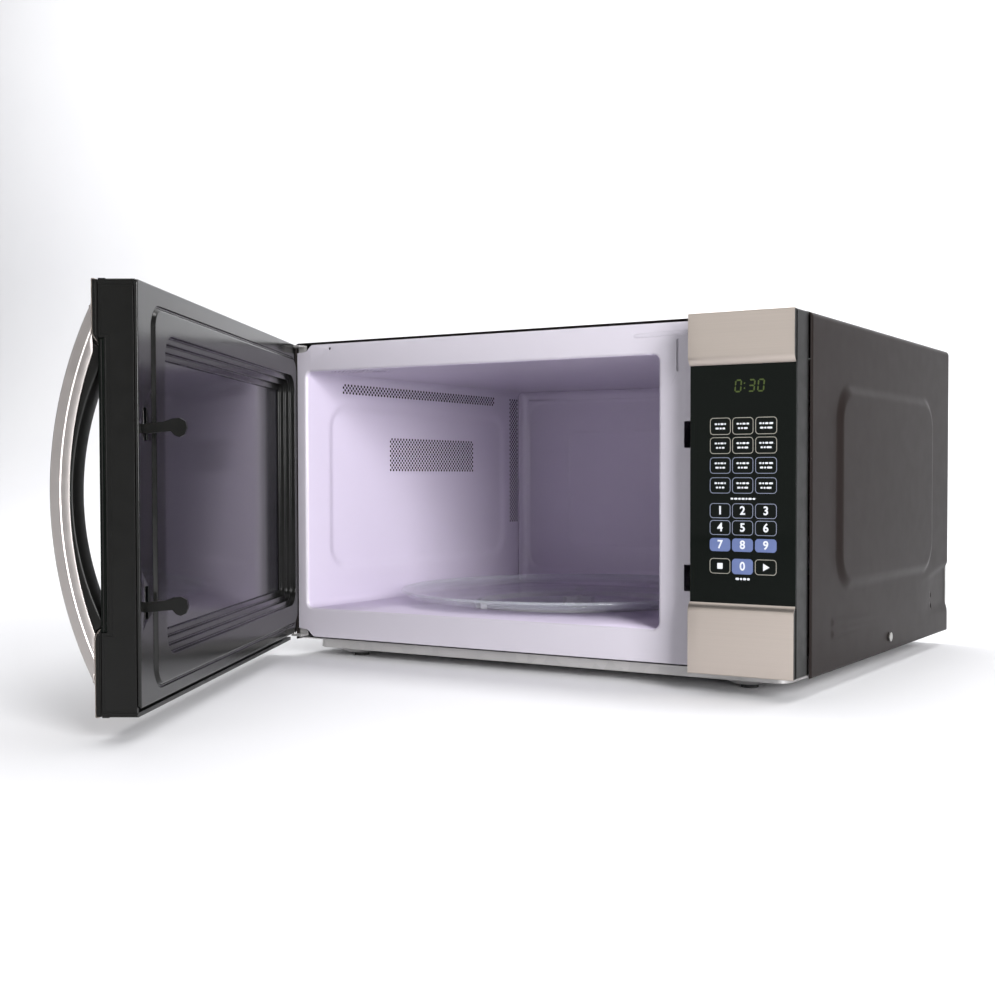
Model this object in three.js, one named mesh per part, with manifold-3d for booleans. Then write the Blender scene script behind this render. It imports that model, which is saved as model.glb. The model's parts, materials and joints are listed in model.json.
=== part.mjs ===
// Countertop microwave oven with its door standing open: a wrapped steel cabinet, a cooking cavity
// with a turntable, a machine compartment behind the control panel, and a framed glass door with a
// bowed handle and a two-hook latch. Millimetres, +Z up, the front faces -Y.
import * as THREE from "three";
import { mergeVertices } from "three/addons/utils/BufferGeometryUtils.js";
import Module from "manifold-3d";

const wasm = await Module();
wasm.setup();

// ---- driving dimensions -------------------------------------------------------------------

const GAP = 0.3;
const SHEET = 1;
const ROUND_STEPS = 2;
// How far a cutting solid runs past the surfaces that it cuts.
const CLEAR = 9;

const CABINET = { left: -4, right: 549.4, front: 0.8, back: 413.2, top: 300 };
const COVER_CORNER_RADIUS = 5;
const PRESSING = { front: 72, back: 344, bottom: 76, top: 236, radius: 24, height: 3.2, slope: 9 };
const COVER_SCREW = { y: 211.5, z: 12.8, radius: 2, headRadius: 4.4, length: 5 };

const BASE = { front: 3.6, rearGap: 4, bottom: 1, rimTop: 20 };
const TRAY = { left: 18, right: 528, front: 6, back: 404, radius: 14, bottom: -7 };
const FOOT = { bottom: -15.5, padRadius: 7.5, stemRadius: 1.7, stemRise: 4 };
const FOOT_BOSS_BOTTOM_Z = -11.4;
const FOOT_BOSS_PROFILE = [[0, -11.4], [15, -11.4], [25, -6.5], [25, -5.5], [0, -5.5]];
const FOOT_CENTRES = [
  ["front_left_foot", 57, 30],
  ["front_right_foot", 484, 30],
  ["rear_left_foot", 57, 380],
  ["rear_right_foot", 484, 380],
];

const FACE = { left: 0, right: 546, bottom: 3.8, top: 297.5 };
const CAVITY = { left: 11.4, right: 411, bottom: 32.8, top: 270.8, depth: 402 };
const CAVITY_CORNER_RADIUS = 6;
const WAVE_PORT = { y: [150, 230], z: [170, 210] };
const FACE_NOTCH = { width: 11, upperZ: 290, lowerZ: 10 };
const PANEL_PORT = { left: 462.4, right: 537.8, bottom: 70, top: 250 };
const GLAND = { x: 500, z: 40, radius: 7, bore: 3.6, flangeRadius: 10 };
const REAR_SLOT = { width: 18, height: 4, pitchX: 24, pitchZ: 10, bottom: 190, rows: 6 };

const FRONT_Y = -31.9;
const TRIM_THICKNESS = 4.5;
const GLASS_FRONT_Y = FRONT_Y + TRIM_THICKNESS;
const TRIM_BEVEL = 6;
const UPPER_TRIM_BOTTOM_Z = 256.5;
const LOWER_TRIM_TOP_Z = 61.5;
const GLASS_Z = [LOWER_TRIM_TOP_Z - 2, UPPER_TRIM_BOTTOM_Z + 2];
const PANEL = { left: 454.4, right: 547.8, bottom: 2.2, top: 299.5, wall: 2.5 };
const PANEL_GLASS_THICKNESS = 2;
const DISPLAY = { left: 488.4, right: 525.8, bottom: 229, top: 249 };

const DOOR = { left: -4, right: 452.4, bottom: 1.2, top: 299, faceGap: 3, wall: 3, proud: 2.6 };
const DOOR_FRONT_Y = FRONT_Y - DOOR.proud;
const DOOR_GLASS_FRONT_Y = GLASS_FRONT_Y - DOOR.proud;
const DOOR_OPEN_ANGLE = THREE.MathUtils.degToRad(60.75);
const DOOR_GLASS_THICKNESS = 4;
const HINGE = { x: -1.6, y: -5, pinRadius: 1.4, holeRadius: 1.5, swingRadius: 13.5 };
const HINGE_PLATE = { left: -2.6, right: 10, front: -8.5, back: 3.2, thickness: 1.8 };
const HINGE_PLATE_Z = { bottom: 3.9, top: 297.4, flange: 22.3 };
const WINDOW = { left: 8, right: 402, bottom: 37, top: 266, radius: 17 };
const WINDOW_STEPS = { depths: [2.5, 6.5, 10.5], width: 5, wall: 2 };
const WINDOW_INSET = 15;
const RAISED_PANEL = { left: 0, right: 422, bottom: 19, top: 282, radius: 13, height: 1.8 };

const HOOK = { x: 439.5, thickness: 3, rootsZ: [72, 194.6] };
const HOOK_SLOT = { below: 4.8, above: 18, halfWidth: 4.2 };
const LATCH_BAR_TOP_Z = 214;

const HANDLE = { left: 426, right: 451, reach: 30.5, radius: 300, middleZ: 153 };
const HANDLE_SHELL = { depth: 14.9, wall: 2 };
const FINGER_GAP = { radius: 204, height: 15 };
const HANDLE_SCREW = { z: [38, 268], shaftRadius: 1.8, headRadius: 4, headHeight: 2.4 };

const TURNTABLE = { x: 211, y: 203, plateRadius: 189, wellRadius: 128, wellDepth: 8, shaftHole: 9 };
const ROLLER = { radius: 6.5, width: 7, ringRadius: 115, count: 3, axleRadius: 1.5 };
const COUPLER = { shaftRadius: 3.5, hubRadius: 8, lobeReach: 17, lobeWidth: 8 };
const WELL_FLOOR_Z = CAVITY.bottom - TURNTABLE.wellDepth;
const PLATE_BOTTOM_Z = WELL_FLOOR_Z + 2 * ROLLER.radius + 0.2;

const MAGNETRON = { y: 190, z: 190, width: 64, height: 84, antennaRadius: 8 };
const TRANSFORMER = { left: 432, right: 522, front: 120, back: 200, bottom: 10, top: 76 };
const CAPACITOR = { left: 432, right: 486, front: 250, back: 284, bottom: 4, top: 104 };
const DIODE = { x: 504, z: 60, front: 246, bodyRadius: 4, leadRadius: 1.6 };
const FAN = { x: 482, y: 385, z: 214, radius: 41, blades: 4, shaftRadius: 2.4 };
const FILTER = { left: 430, right: 492, bottom: 60, top: 120, front: 396 };
const LAMP = { y: 330, z: 236, socket: 24 };
const CUTOUT = { x: 360, y: 60, radius: 8, height: 8 };
const SWITCH = { front: 22, back: 50, width: 10, height: 16 };

// ---- materials ----------------------------------------------------------------------------

const finish = (color, roughness, metalness = 0) => ({ color, roughness, metalness });
const LOOK = {
  cover: finish(0x4c4846, 0.45, 0.3),
  enamel: finish(0xd6d2da, 0.4),
  galvanised: finish(0x9d9b9c, 0.45, 0.8),
  stainless: finish(0xc2b8b0, 0.32, 0.9),
  blackPlastic: finish(0x262724, 0.4),
  innerDoor: finish(0x2c2c2c, 0.35),
  blackGlass: finish(0x161815, 0.08),
  tintedFilm: finish(0x3e3b43, 0.1),
  darkMesh: finish(0x1c1c1e, 0.5, 0.4),
  silver: finish(0xb8b3b2, 0.25, 0.9),
  clearGlass: finish(0xbcc6c4, 0.05),
  rubber: finish(0x1b1b1b, 0.8),
  copper: finish(0xa8623a, 0.4, 0.8),
  iron: finish(0x55585c, 0.5, 0.7),
  aluminium: finish(0xb4b7ba, 0.35, 0.9),
  board: finish(0x3d5a35, 0.5),
  mica: finish(0xb9ac92, 0.6),
  greyPlastic: finish(0x8b8d90, 0.5),
  display: finish(0x4a5222, 0.3),
};

// ---- solids: geometry in, geometry out ----------------------------------------------------

function toManifold(geometry) {
  const flat = geometry.index ? geometry.toNonIndexed() : geometry;
  const bare = new THREE.BufferGeometry();
  bare.setAttribute("position", flat.getAttribute("position"));
  const merged = mergeVertices(bare, 1e-4);
  const vertProperties = merged.attributes.position.array;
  const triVerts = new Uint32Array(merged.index.array);
  return new wasm.Manifold(new wasm.Mesh({ numProp: 3, vertProperties, triVerts }));
}

function toGeometry(manifold) {
  const { vertProperties, triVerts } = manifold.getMesh();
  const geometry = new THREE.BufferGeometry();
  geometry.setAttribute("position", new THREE.BufferAttribute(vertProperties, 3));
  return geometry.setIndex(new THREE.BufferAttribute(triVerts, 1));
}

function join(...geometries) {
  return toGeometry(geometries.map(toManifold).reduce((whole, piece) => whole.add(piece)));
}

function cut(base, ...tools) {
  const start = toManifold(base);
  return toGeometry(tools.map(toManifold).reduce((rest, tool) => rest.subtract(tool), start));
}

function box(x0, x1, y0, y1, z0, z1) {
  const geometry = new THREE.BoxGeometry(x1 - x0, y1 - y0, z1 - z0);
  return geometry.translate((x0 + x1) / 2, (y0 + y1) / 2, (z0 + z1) / 2);
}

function rectangle(u0, v0, u1, v1, radius = 0) {
  const shape = new THREE.Shape();
  if (radius === 0) {
    return shape.moveTo(u0, v0).lineTo(u1, v0).lineTo(u1, v1).lineTo(u0, v1);
  }
  const quarter = Math.PI / 2;
  shape.absarc(u1 - radius, v0 + radius, radius, -quarter, 0);
  shape.absarc(u1 - radius, v1 - radius, radius, 0, quarter);
  shape.absarc(u0 + radius, v1 - radius, radius, quarter, Math.PI);
  shape.absarc(u0 + radius, v0 + radius, radius, Math.PI, 3 * quarter);
  return shape;
}

function inset({ left, right, bottom, top, radius = 0 }, by) {
  return rectangle(left + by, bottom + by, right - by, top - by, Math.max(radius - by, 0));
}

// The plan of a tray or of an upright can, drawn in by an inset.
function tableOutline({ left, right, front, back, radius }, by) {
  return rectangle(left + by, front + by, right - by, back - by, radius - by);
}

function polygon(points) {
  return new THREE.Shape(points.map(([u, v]) => new THREE.Vector2(u, v)));
}

function extrude(shape, depth, steps = ROUND_STEPS) {
  return new THREE.ExtrudeGeometry(shape, { depth, bevelEnabled: false, curveSegments: steps });
}

// An outline in X and Y, from z0 up to z1.
function prismZ(shape, z0, z1, steps) {
  return extrude(shape, z1 - z0, steps).translate(0, 0, z0);
}

// An outline in X and Z, from y0 back to y1.
function prismY(shape, y0, y1, steps) {
  return extrude(shape, y1 - y0, steps).rotateX(Math.PI / 2).translate(0, y1, 0);
}

// Turns an outline in Y and Z, extruded along Z, so that it is extruded along X.
const ALONG_X = new THREE.Matrix4().set(0, 0, 1, 0, 1, 0, 0, 0, 0, 1, 0, 0, 0, 0, 0, 1);

// An outline in Y and Z, from x0 across to x1.
function prismX(shape, x0, x1, steps) {
  return extrude(shape, x1 - x0, steps).applyMatrix4(ALONG_X).translate(x0, 0, 0);
}

function rodZ(x, y, z0, z1, radius, sides = 24) {
  const geometry = new THREE.CylinderGeometry(radius, radius, z1 - z0, sides);
  return geometry.rotateX(Math.PI / 2).translate(x, y, (z0 + z1) / 2);
}

function rodY(x, z, y0, y1, radius, sides = 20) {
  const geometry = new THREE.CylinderGeometry(radius, radius, y1 - y0, sides);
  return geometry.translate(x, (y0 + y1) / 2, z);
}

function rodX(y, z, x0, x1, radius, sides = 20) {
  const geometry = new THREE.CylinderGeometry(radius, radius, Math.abs(x1 - x0), sides);
  return geometry.rotateZ(Math.PI / 2).translate((x0 + x1) / 2, y, z);
}

// A solid of revolution about the upright line through x and y, from [radius, z] points that run
// up the outside.
function turned(x, y, profile, sides) {
  const points = profile.map(([radius, z]) => new THREE.Vector2(radius, z));
  return new THREE.LatheGeometry(points, sides).rotateX(Math.PI / 2).translate(x, y, 0);
}

// ---- assembly groups ----------------------------------------------------------------------

const microwave = new THREE.Group();
const cabinet = new THREE.Group();
const doorPivot = new THREE.Group();
const door = new THREE.Group();

function add(group, name, geometry, look) {
  geometry.computeVertexNormals();
  const mesh = new THREE.Mesh(geometry, new THREE.MeshStandardMaterial(look));
  mesh.name = name;
  group.add(mesh);
}

// ---- cabinet ------------------------------------------------------------------------------

// The stiffening panel pressed out of each side wall: a flat top with sloping edges, about plane x.
function sidePressing(x) {
  const { front, back, bottom, top, radius, height, slope } = PRESSING;
  const edge = { bevelEnabled: true, bevelThickness: height, bevelSize: slope, bevelSegments: 1 };
  const options = { ...edge, depth: 0.02, curveSegments: ROUND_STEPS };
  const outline = rectangle(front, bottom, back, top, radius);
  return new THREE.ExtrudeGeometry(outline, options).applyMatrix4(ALONG_X).translate(x, 0, 0);
}

function outerCover() {
  const { left, right, front, back, top } = CABINET;
  const below = -20;
  const outline = rectangle(left, below, right, top, COVER_CORNER_RADIUS);
  const innerRadius = COVER_CORNER_RADIUS - SHEET;
  const hollow = rectangle(left + SHEET, 2 * below, right - SHEET, top - SHEET, innerRadius);
  const { y, z, radius } = COVER_SCREW;
  return cut(
    join(prismY(outline, front, back), sidePressing(left), sidePressing(right)),
    prismY(hollow, front - CLEAR, back + CLEAR),
    sidePressing(left + SHEET),
    sidePressing(right - SHEET),
    box(left - CLEAR, right + CLEAR, front - CLEAR, back + CLEAR, 3 * below, 0),
    rodX(y, z, left - CLEAR, right + CLEAR, radius + GAP),
  );
}

// Side screw: its head lies on the cover and its shaft ends in the base plate's side wall.
function coverScrew(side) {
  const x = side > 0 ? CABINET.right : CABINET.left;
  const { y, z, radius, headRadius, length } = COVER_SCREW;
  const shaft = rodX(y, z, x - side * length, x + side, radius, 12);
  const head = rodX(y, z, x + side * GAP, x + side * 2, headRadius, 16);
  return join(shaft, head);
}

function basePlate() {
  const { left, right } = CABINET;
  const edge = SHEET + GAP;
  const { y, z, radius } = COVER_SCREW;
  const rear = CABINET.back - BASE.rearGap;
  const floor = box(left + edge, right - edge, BASE.front, rear, BASE.bottom, BASE.bottom + SHEET);
  const sides = [left + edge, right - edge - SHEET].map((x) =>
    box(x, x + SHEET, BASE.front, rear, BASE.bottom, BASE.rimTop),
  );
  const tray = prismZ(tableOutline(TRAY, 0), TRAY.bottom, BASE.bottom + SHEET / 2);
  const trayHollow = prismZ(tableOutline(TRAY, SHEET), TRAY.bottom + SHEET, BASE.bottom + CLEAR);
  const bosses = FOOT_CENTRES.map(([, x, footY]) => turned(x, footY, FOOT_BOSS_PROFILE, 20));
  const holeRadius = FOOT.stemRadius + GAP;
  const footHoles = FOOT_CENTRES.map(([, x, footY]) => rodZ(x, footY, -30, 20, holeRadius, 12));
  const screwHoles = rodX(y, z, left - CLEAR, right + CLEAR, radius + GAP);
  return cut(join(cut(join(floor, ...sides, tray), trayHollow), ...bosses), ...footHoles, screwHoles);
}

function foot(x, y) {
  const pad = rodZ(x, y, FOOT.bottom, FOOT_BOSS_BOTTOM_Z - GAP, FOOT.padRadius, 20);
  const stem = rodZ(x, y, FOOT.bottom + 1, FOOT_BOSS_BOTTOM_Z + FOOT.stemRise, FOOT.stemRadius, 12);
  return join(pad, stem);
}

// Cooling slots of the rear panel: x of the first slot and the number of slots side by side.
const REAR_VENTS = [[436, 4], [70, 6]];

function rearPanel() {
  const { left, right, back, top } = CABINET;
  const y = back - 2;
  const edge = SHEET + GAP;
  const plate = prismY(rectangle(left + edge, 2.6, right - edge, top - edge, 4), y, y + SHEET, 1);
  const { width, height, pitchX, pitchZ, bottom, rows } = REAR_SLOT;
  const slots = [];
  for (const [firstX, columns] of REAR_VENTS) {
    for (let i = 0; i < columns * rows; i += 1) {
      const x = firstX + (i % columns) * pitchX;
      const z = bottom + Math.floor(i / columns) * pitchZ;
      slots.push(box(x, x + width, y - CLEAR, y + CLEAR, z, z + height));
    }
  }
  return cut(plate, ...slots, rodY(GLAND.x, GLAND.z, y - CLEAR, y + CLEAR, GLAND.radius + GAP));
}

// Strain relief in the rear panel, where the mains lead comes out.
function cordGland() {
  const y = CABINET.back - 2;
  const { x, z, radius, bore, flangeRadius } = GLAND;
  const neck = rodY(x, z, y - 9, y + 1.7, radius);
  const collar = rodY(x, z, y - 9, y - GAP, flangeRadius);
  const flange = rodY(x, z, y + SHEET + GAP, y + SHEET + 3, flangeRadius);
  return cut(join(neck, collar, flange), rodY(x, z, y - 2 * CLEAR, y + 2 * CLEAR, bore));
}

// Side walls and ceiling of the cavity, one bent sheet.
function cavityShell() {
  const { left, right, bottom, top, depth } = CAVITY;
  const radius = CAVITY_CORNER_RADIUS;
  const below = bottom - 20;
  const outer = rectangle(left - SHEET, below, right + SHEET, top + SHEET, radius + SHEET);
  return cut(
    prismY(outer, SHEET + GAP, depth),
    prismY(rectangle(left, below - 20, right, top, radius), -CLEAR, depth + CLEAR),
    box(left - CLEAR, right + CLEAR, -CLEAR, depth + CLEAR, below - CLEAR, bottom - SHEET),
    box(right - CLEAR, right + CLEAR, ...WAVE_PORT.y, ...WAVE_PORT.z),
  );
}

// Floor of the cavity, with the round well that the roller ring runs in.
function cavityFloor() {
  const { left, right, bottom, depth } = CAVITY;
  const { x, y, wellRadius, shaftHole } = TURNTABLE;
  const plate = box(left + GAP, right - GAP, SHEET + GAP, depth, bottom - SHEET, bottom);
  return cut(
    join(plate, rodZ(x, y, WELL_FLOOR_Z - SHEET, bottom - SHEET / 2, wellRadius + SHEET, 48)),
    rodZ(x, y, WELL_FLOOR_Z, bottom + CLEAR, wellRadius, 48),
    rodZ(x, y, WELL_FLOOR_Z - CLEAR, WELL_FLOOR_Z + CLEAR, shaftHole, 20),
  );
}

function cavityBack() {
  const { left, right, bottom, top, depth } = CAVITY;
  const outline = rectangle(left - SHEET, bottom - SHEET, right + SHEET, top + SHEET);
  return prismY(outline, depth + GAP, depth + GAP + SHEET);
}

function hookSlot(root) {
  const x = HOOK.x;
  const { below, above, halfWidth } = HOOK_SLOT;
  return rectangle(x - halfWidth, root - below, x + halfWidth, root + above);
}

function frontFace() {
  const { left, right, bottom, top } = FACE;
  const outline = rectangle(left, bottom, right, top);
  outline.holes.push(inset({ ...CAVITY, radius: CAVITY_CORNER_RADIUS }, 0));
  outline.holes.push(...HOOK.rootsZ.map(hookSlot));
  outline.holes.push(inset(PANEL_PORT, 0));
  const notches = [
    [FACE_NOTCH.upperZ, top + CLEAR],
    [bottom - CLEAR, FACE_NOTCH.lowerZ],
  ].map((z) => box(left - 1, FACE_NOTCH.width, -2, 3, ...z));
  return cut(prismY(outline, 0, SHEET), ...notches);
}

// Steel hinge plate at a left corner of the face, with the pin that enters the end of the door.
function hingeBracket(side) {
  const { left, right, front, back, thickness } = HINGE_PLATE;
  const outer = side > 0 ? HINGE_PLATE_Z.top : HINGE_PLATE_Z.bottom;
  const from = (near, far) => [outer - side * near, outer - side * far].sort((a, b) => a - b);
  const tongueZ = from(0, thickness);
  const tongue = join(box(left, right, front, 0.5, ...tongueZ), box(0.6, right, -1, back, ...tongueZ));
  const flange = box(0.6, right, SHEET + GAP, back, ...from(0, HINGE_PLATE_Z.flange));
  const nose = rodZ(HINGE.x + 0.6, HINGE.y, ...tongueZ, 3, 16);
  return join(tongue, flange, nose, rodZ(HINGE.x, HINGE.y, ...from(1.2, 8.8), HINGE.pinRadius));
}

// ---- control panel ------------------------------------------------------------------------

const HOUSING_FRONT_Y = GLASS_FRONT_Y + PANEL_GLASS_THICKNESS + GAP;

function panelHousing() {
  const { left, right, bottom, top, wall } = PANEL;
  const front = HOUSING_FRONT_Y;
  const shell = prismY(rectangle(left, bottom, right, top, 2), front, -GAP);
  const ledgeY = [GLASS_FRONT_Y, front + 1];
  return cut(
    join(
      shell,
      box(left + 0.6, right - 0.6, ...ledgeY, UPPER_TRIM_BOTTOM_Z + 2.5, top - 0.6),
      box(left + 0.6, right - 0.6, ...ledgeY, bottom + 0.6, LOWER_TRIM_TOP_Z - 2.5),
    ),
    box(left + wall, right - wall, front + wall, 5, bottom + wall, top - wall),
    prismY(inset(DISPLAY, -2), front - CLEAR, front + CLEAR),
  );
}

// Stainless band across the front, bevelled from edgeZ down to the glass; outerZ is its far edge.
function trimBand(x0, x1, edgeZ, outerZ, front = FRONT_Y) {
  const inward = Math.sign(outerZ - edgeZ);
  const back = front + TRIM_THICKNESS - GAP;
  const points = [
    [back, edgeZ],
    [back, outerZ],
    [front + 1.6, outerZ],
    [front + 0.5, outerZ - inward * 0.5],
    [front, outerZ - inward * 1.6],
    [front, edgeZ + inward * TRIM_BEVEL],
    [front + 1, edgeZ + inward * (TRIM_BEVEL - 2.6)],
    [back - 0.8, edgeZ],
  ];
  return prismX(polygon(inward > 0 ? points.reverse() : points), x0, x1);
}

function panelGlass() {
  const y = [GLASS_FRONT_Y, GLASS_FRONT_Y + PANEL_GLASS_THICKNESS];
  return box(PANEL.left, PANEL.right, ...y, ...GLASS_Z);
}

function controlBoard() {
  const [front, back] = [-14, -12.4];
  const board = box(PANEL.left + 8, PANEL.right - 8, front, back, 78, 252);
  const y = back - 0.2;
  const part = ([x, z, width, height, depth]) => box(x, x + width, y, y + depth, z, z + height);
  const relays = [100, 130].map((z) => part([470, z, 20, 18, 17.2]));
  const transformer = part([500, 96, 30, 30, 24.6]);
  const chip = part([488, 176, 18, 18, 3]);
  return join(board, ...relays, transformer, chip);
}

function displayModule() {
  return prismY(inset(DISPLAY, 0), HOUSING_FRONT_Y + GAP, -14.3);
}

function keypadMembrane() {
  const y = HOUSING_FRONT_Y + PANEL.wall + GAP;
  return box(PANEL.left + 12, PANEL.right - 12, y, y + 1, 80, 220);
}

// ---- machine compartment ------------------------------------------------------------------

function magnetron() {
  const { y, z, width, height, antennaRadius } = MAGNETRON;
  const [front, back] = [y - width / 2, y + width / 2];
  const can = box(428, 500, front, back, z - height / 2, z + height / 2);
  const filterBox = rodX(y, z, 499, 514, 14);
  const antenna = rodX(y, z, 417, 429, antennaRadius);
  const finGaps = [-28, -14, 0, 14, 28].flatMap((rise) =>
    [front, back].map((edge) => box(440, 488, edge - 20, edge + 20, z + rise - 4, z + rise + 4)),
  );
  return cut(join(can, filterBox, antenna), ...finGaps);
}

// Short rectangular duct between the magnetron's antenna and the port in the cavity wall.
function waveguide() {
  const { y, z, antennaRadius } = MAGNETRON;
  const [x0, x1, wall] = [CAVITY.right + SHEET + GAP, 427.6, 1.2];
  const [halfWidth, halfHeight] = [48, 30];
  const duct = box(x0, x1, y - halfWidth, y + halfWidth, z - halfHeight, z + halfHeight);
  const inner = [halfWidth - wall, halfHeight - wall];
  const hollow = box(x0 - 2, x1 - wall, y - inner[0], y + inner[0], z - inner[1], z + inner[1]);
  return cut(duct, hollow, rodX(y, z, x1 - 5, x1 + 5, antennaRadius + 1));
}

function waveguideCover() {
  const x = CAVITY.right;
  const [y, z] = [WAVE_PORT.y, WAVE_PORT.z];
  return box(x - 1, x - GAP, y[0] - 12, y[1] + 12, z[0] - 10, z[1] + 10);
}

function powerTransformer() {
  const { left, right, front, back, bottom, top } = TRANSFORMER;
  const core = box(left, right, front, back, bottom, top);
  const windings = box(left + 14, right - 14, front - 16, back + 16, bottom + 12, top - 12);
  const plate = box(left - 6, right + 6, front - 4, back + 4, 2.3, bottom + 0.5);
  return join(core, windings, plate);
}

function capacitor() {
  const { left, right, front, back, bottom, top } = CAPACITOR;
  const can = prismZ(tableOutline({ ...CAPACITOR, radius: 14 }, 0), bottom, top);
  const y = (front + back) / 2;
  const terminals = [left + 16, right - 16].map((x) => box(x - 3, x + 3, y - 1, y + 1, top - 1, top + 10));
  return join(can, ...terminals);
}

function rectifierDiode() {
  const { x, z, front, bodyRadius, leadRadius } = DIODE;
  const lug = box(x - 6, x + 6, front, front + 11, z - 8, z + 8);
  const body = rodY(x, z, front + 10, front + 38, bodyRadius, 12);
  return join(body, rodY(x, z, front + 37, front + 46, leadRadius, 10), lug);
}

function fanShroud() {
  const { x, y, z, radius } = FAN;
  const plate = box(420, 544, y + 8, y + 11, z - 62, z + 62);
  const ring = rodY(x, z, y - 6, y + 9, radius + 5, 40);
  return cut(join(plate, ring), rodY(x, z, y - 20, y + 20, radius + 2.5, 40));
}

function fanMotor() {
  const { x, y, z, shaftRadius } = FAN;
  const stack = box(x - 24, x + 24, y - 52, y - 34, z - 22, z + 22);
  const cans = rodY(x, z, y - 60, y - 26, 14, 20);
  const leg = box(x - 56, x - 20, y - 46, y - 42, z - 10, z + 10);
  return cut(join(stack, cans, leg), rodY(x, z, y - 70, y - 20, shaftRadius + 0.2, 16));
}

function fanBlade() {
  const { x, y, z, radius, blades, shaftRadius } = FAN;
  const [chord, thickness, pitch] = [18, 1.6, THREE.MathUtils.degToRad(32)];
  const hub = rodY(x, z, y - 14, y + 2, 10, 20);
  const shaft = rodY(x, z, y - 62, y - 12, shaftRadius, 12);
  const vanes = [];
  for (let i = 0; i < blades; i += 1) {
    const vane = box(8, radius - 1, -thickness / 2, thickness / 2, -chord / 2, chord / 2);
    vanes.push(vane.rotateX(pitch).rotateY((i * 2 * Math.PI) / blades).translate(x, y - 6, z));
  }
  return join(hub, shaft, ...vanes);
}

function noiseFilter() {
  const { left, right, bottom, top, front } = FILTER;
  const board = box(left, right, front, front + 1.6, bottom, top);
  const choke = rodY(left + 32, bottom + 32, front - 20, front + 0.5, 13, 16);
  const fuse = box(left + 6, left + 20, front - 8, front + 0.5, bottom + 8, bottom + 32);
  return join(board, choke, fuse);
}

function cavityLamp() {
  const x = CAVITY.right + SHEET + 1;
  const { y, z, socket } = LAMP;
  const bulb = turned(0, 0, [[0, 0], [7, 2], [10, 9], [10, 15], [7, 22], [7, 30], [0, 30]], 16);
  bulb.rotateY(Math.PI / 2).translate(x, y, z);
  const half = socket / 2;
  return join(bulb, box(x + 26, x + 44, y - half, y + half, z - half, z + half));
}

function thermalCutout() {
  const { x, y, radius, height } = CUTOUT;
  const z = CAVITY.top + SHEET + GAP;
  return join(rodZ(x, y, z, z + height, radius, 16), box(x - 14, x + 14, y - 4, y + 4, z, z + 1.2));
}

function turntableMotor() {
  const { x, y } = TURNTABLE;
  const top = WELL_FLOOR_Z - SHEET - GAP;
  const can = rodZ(x, y, 3, top - 3, 25, 32);
  const collar = rodZ(x, y, top - 4, top, 12, 24);
  const ears = box(x - 34, x + 34, y - 5, y + 5, top - 6, top - 4);
  return cut(join(can, collar, ears), rodZ(x, y, 8, top + 5, COUPLER.shaftRadius + 0.1, 20));
}

function interlockBracket() {
  const x = HOOK.x + HOOK_SLOT.halfWidth + 1.4;
  const plate = box(x, x + 2, 2, 52, 58, 222);
  const flange = box(x, x + 10, 1.4, 3, 92, 186);
  const bosses = [100, 178].map((z) => rodX(36, z, x, x + 8, 5, 16));
  return join(plate, flange, ...bosses);
}

function interlockSwitch(z) {
  const x = HOOK.x + HOOK_SLOT.halfWidth + 3.8;
  const { front, back, width, height } = SWITCH;
  const body = box(x, x + width, front, back, z, z + height);
  const lever = box(x + 3, x + 7, front - 5, front + 1, z + 3, z + 5);
  return join(body, lever);
}

// ---- turntable ----------------------------------------------------------------------------

function driveCoupler() {
  const { x, y } = TURNTABLE;
  const { shaftRadius, hubRadius, lobeReach, lobeWidth } = COUPLER;
  const shaft = rodZ(x, y, 10, WELL_FLOOR_Z + 3, shaftRadius, 20);
  const hub = rodZ(x, y, WELL_FLOOR_Z + 1.5, WELL_FLOOR_Z + 9, hubRadius, 24);
  const half = lobeWidth / 2;
  const lobes = [0, 1, 2].map((i) => {
    const lobe = box(half, lobeReach, -half, half, WELL_FLOOR_Z + 3, PLATE_BOTTOM_Z - GAP);
    return lobe.rotateZ((i * 2 * Math.PI) / 3).translate(x, y, 0);
  });
  return join(shaft, hub, ...lobes);
}

function rollerRing() {
  const { x, y } = TURNTABLE;
  const { radius, width, ringRadius, count, axleRadius } = ROLLER;
  const axleZ = WELL_FLOOR_Z + radius;
  const [low, high] = [axleZ - 2.5, axleZ + 2.5];
  const outer = ringRadius - width / 2 - 1.4;
  const inner = outer - 6;
  const hoop = turned(x, y, [[inner, low], [outer, low], [outer, high], [inner, high], [inner, low]], 60);
  const axles = [];
  for (let i = 0; i < count; i += 1) {
    const axle = rodX(0, axleZ, outer - 3, ringRadius + width / 2 + 3, axleRadius, 12);
    axles.push(axle.rotateZ((i * 2 * Math.PI) / count).translate(x, y, 0));
  }
  return join(hoop, ...axles);
}

function roller(index) {
  const { radius, width, ringRadius, count, axleRadius } = ROLLER;
  const z = WELL_FLOOR_Z + radius;
  const [x0, x1] = [ringRadius - width / 2, ringRadius + width / 2];
  const bore = rodX(0, z, x0 - 2, x1 + 2, axleRadius + 0.1, 12);
  const wheel = cut(rodX(0, z, x0, x1, radius - 0.1, 24), bore);
  return wheel.rotateZ((index * 2 * Math.PI) / count).translate(TURNTABLE.x, TURNTABLE.y, 0);
}

function glassPlate() {
  const { x, y, plateRadius } = TURNTABLE;
  const z = PLATE_BOTTOM_Z;
  const profile = [
    [0, z],
    [plateRadius - 22, z],
    [plateRadius - 8, z + 2],
    [plateRadius, z + 8],
    [plateRadius, z + 10],
    [plateRadius - 3, z + 10],
    [plateRadius - 10, z + 6],
    [plateRadius - 22, z + 4.5],
    [0, z + 4.5],
  ];
  return turned(x, y, profile, 64);
}

// ---- door, drawn closed -------------------------------------------------------------------

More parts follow.
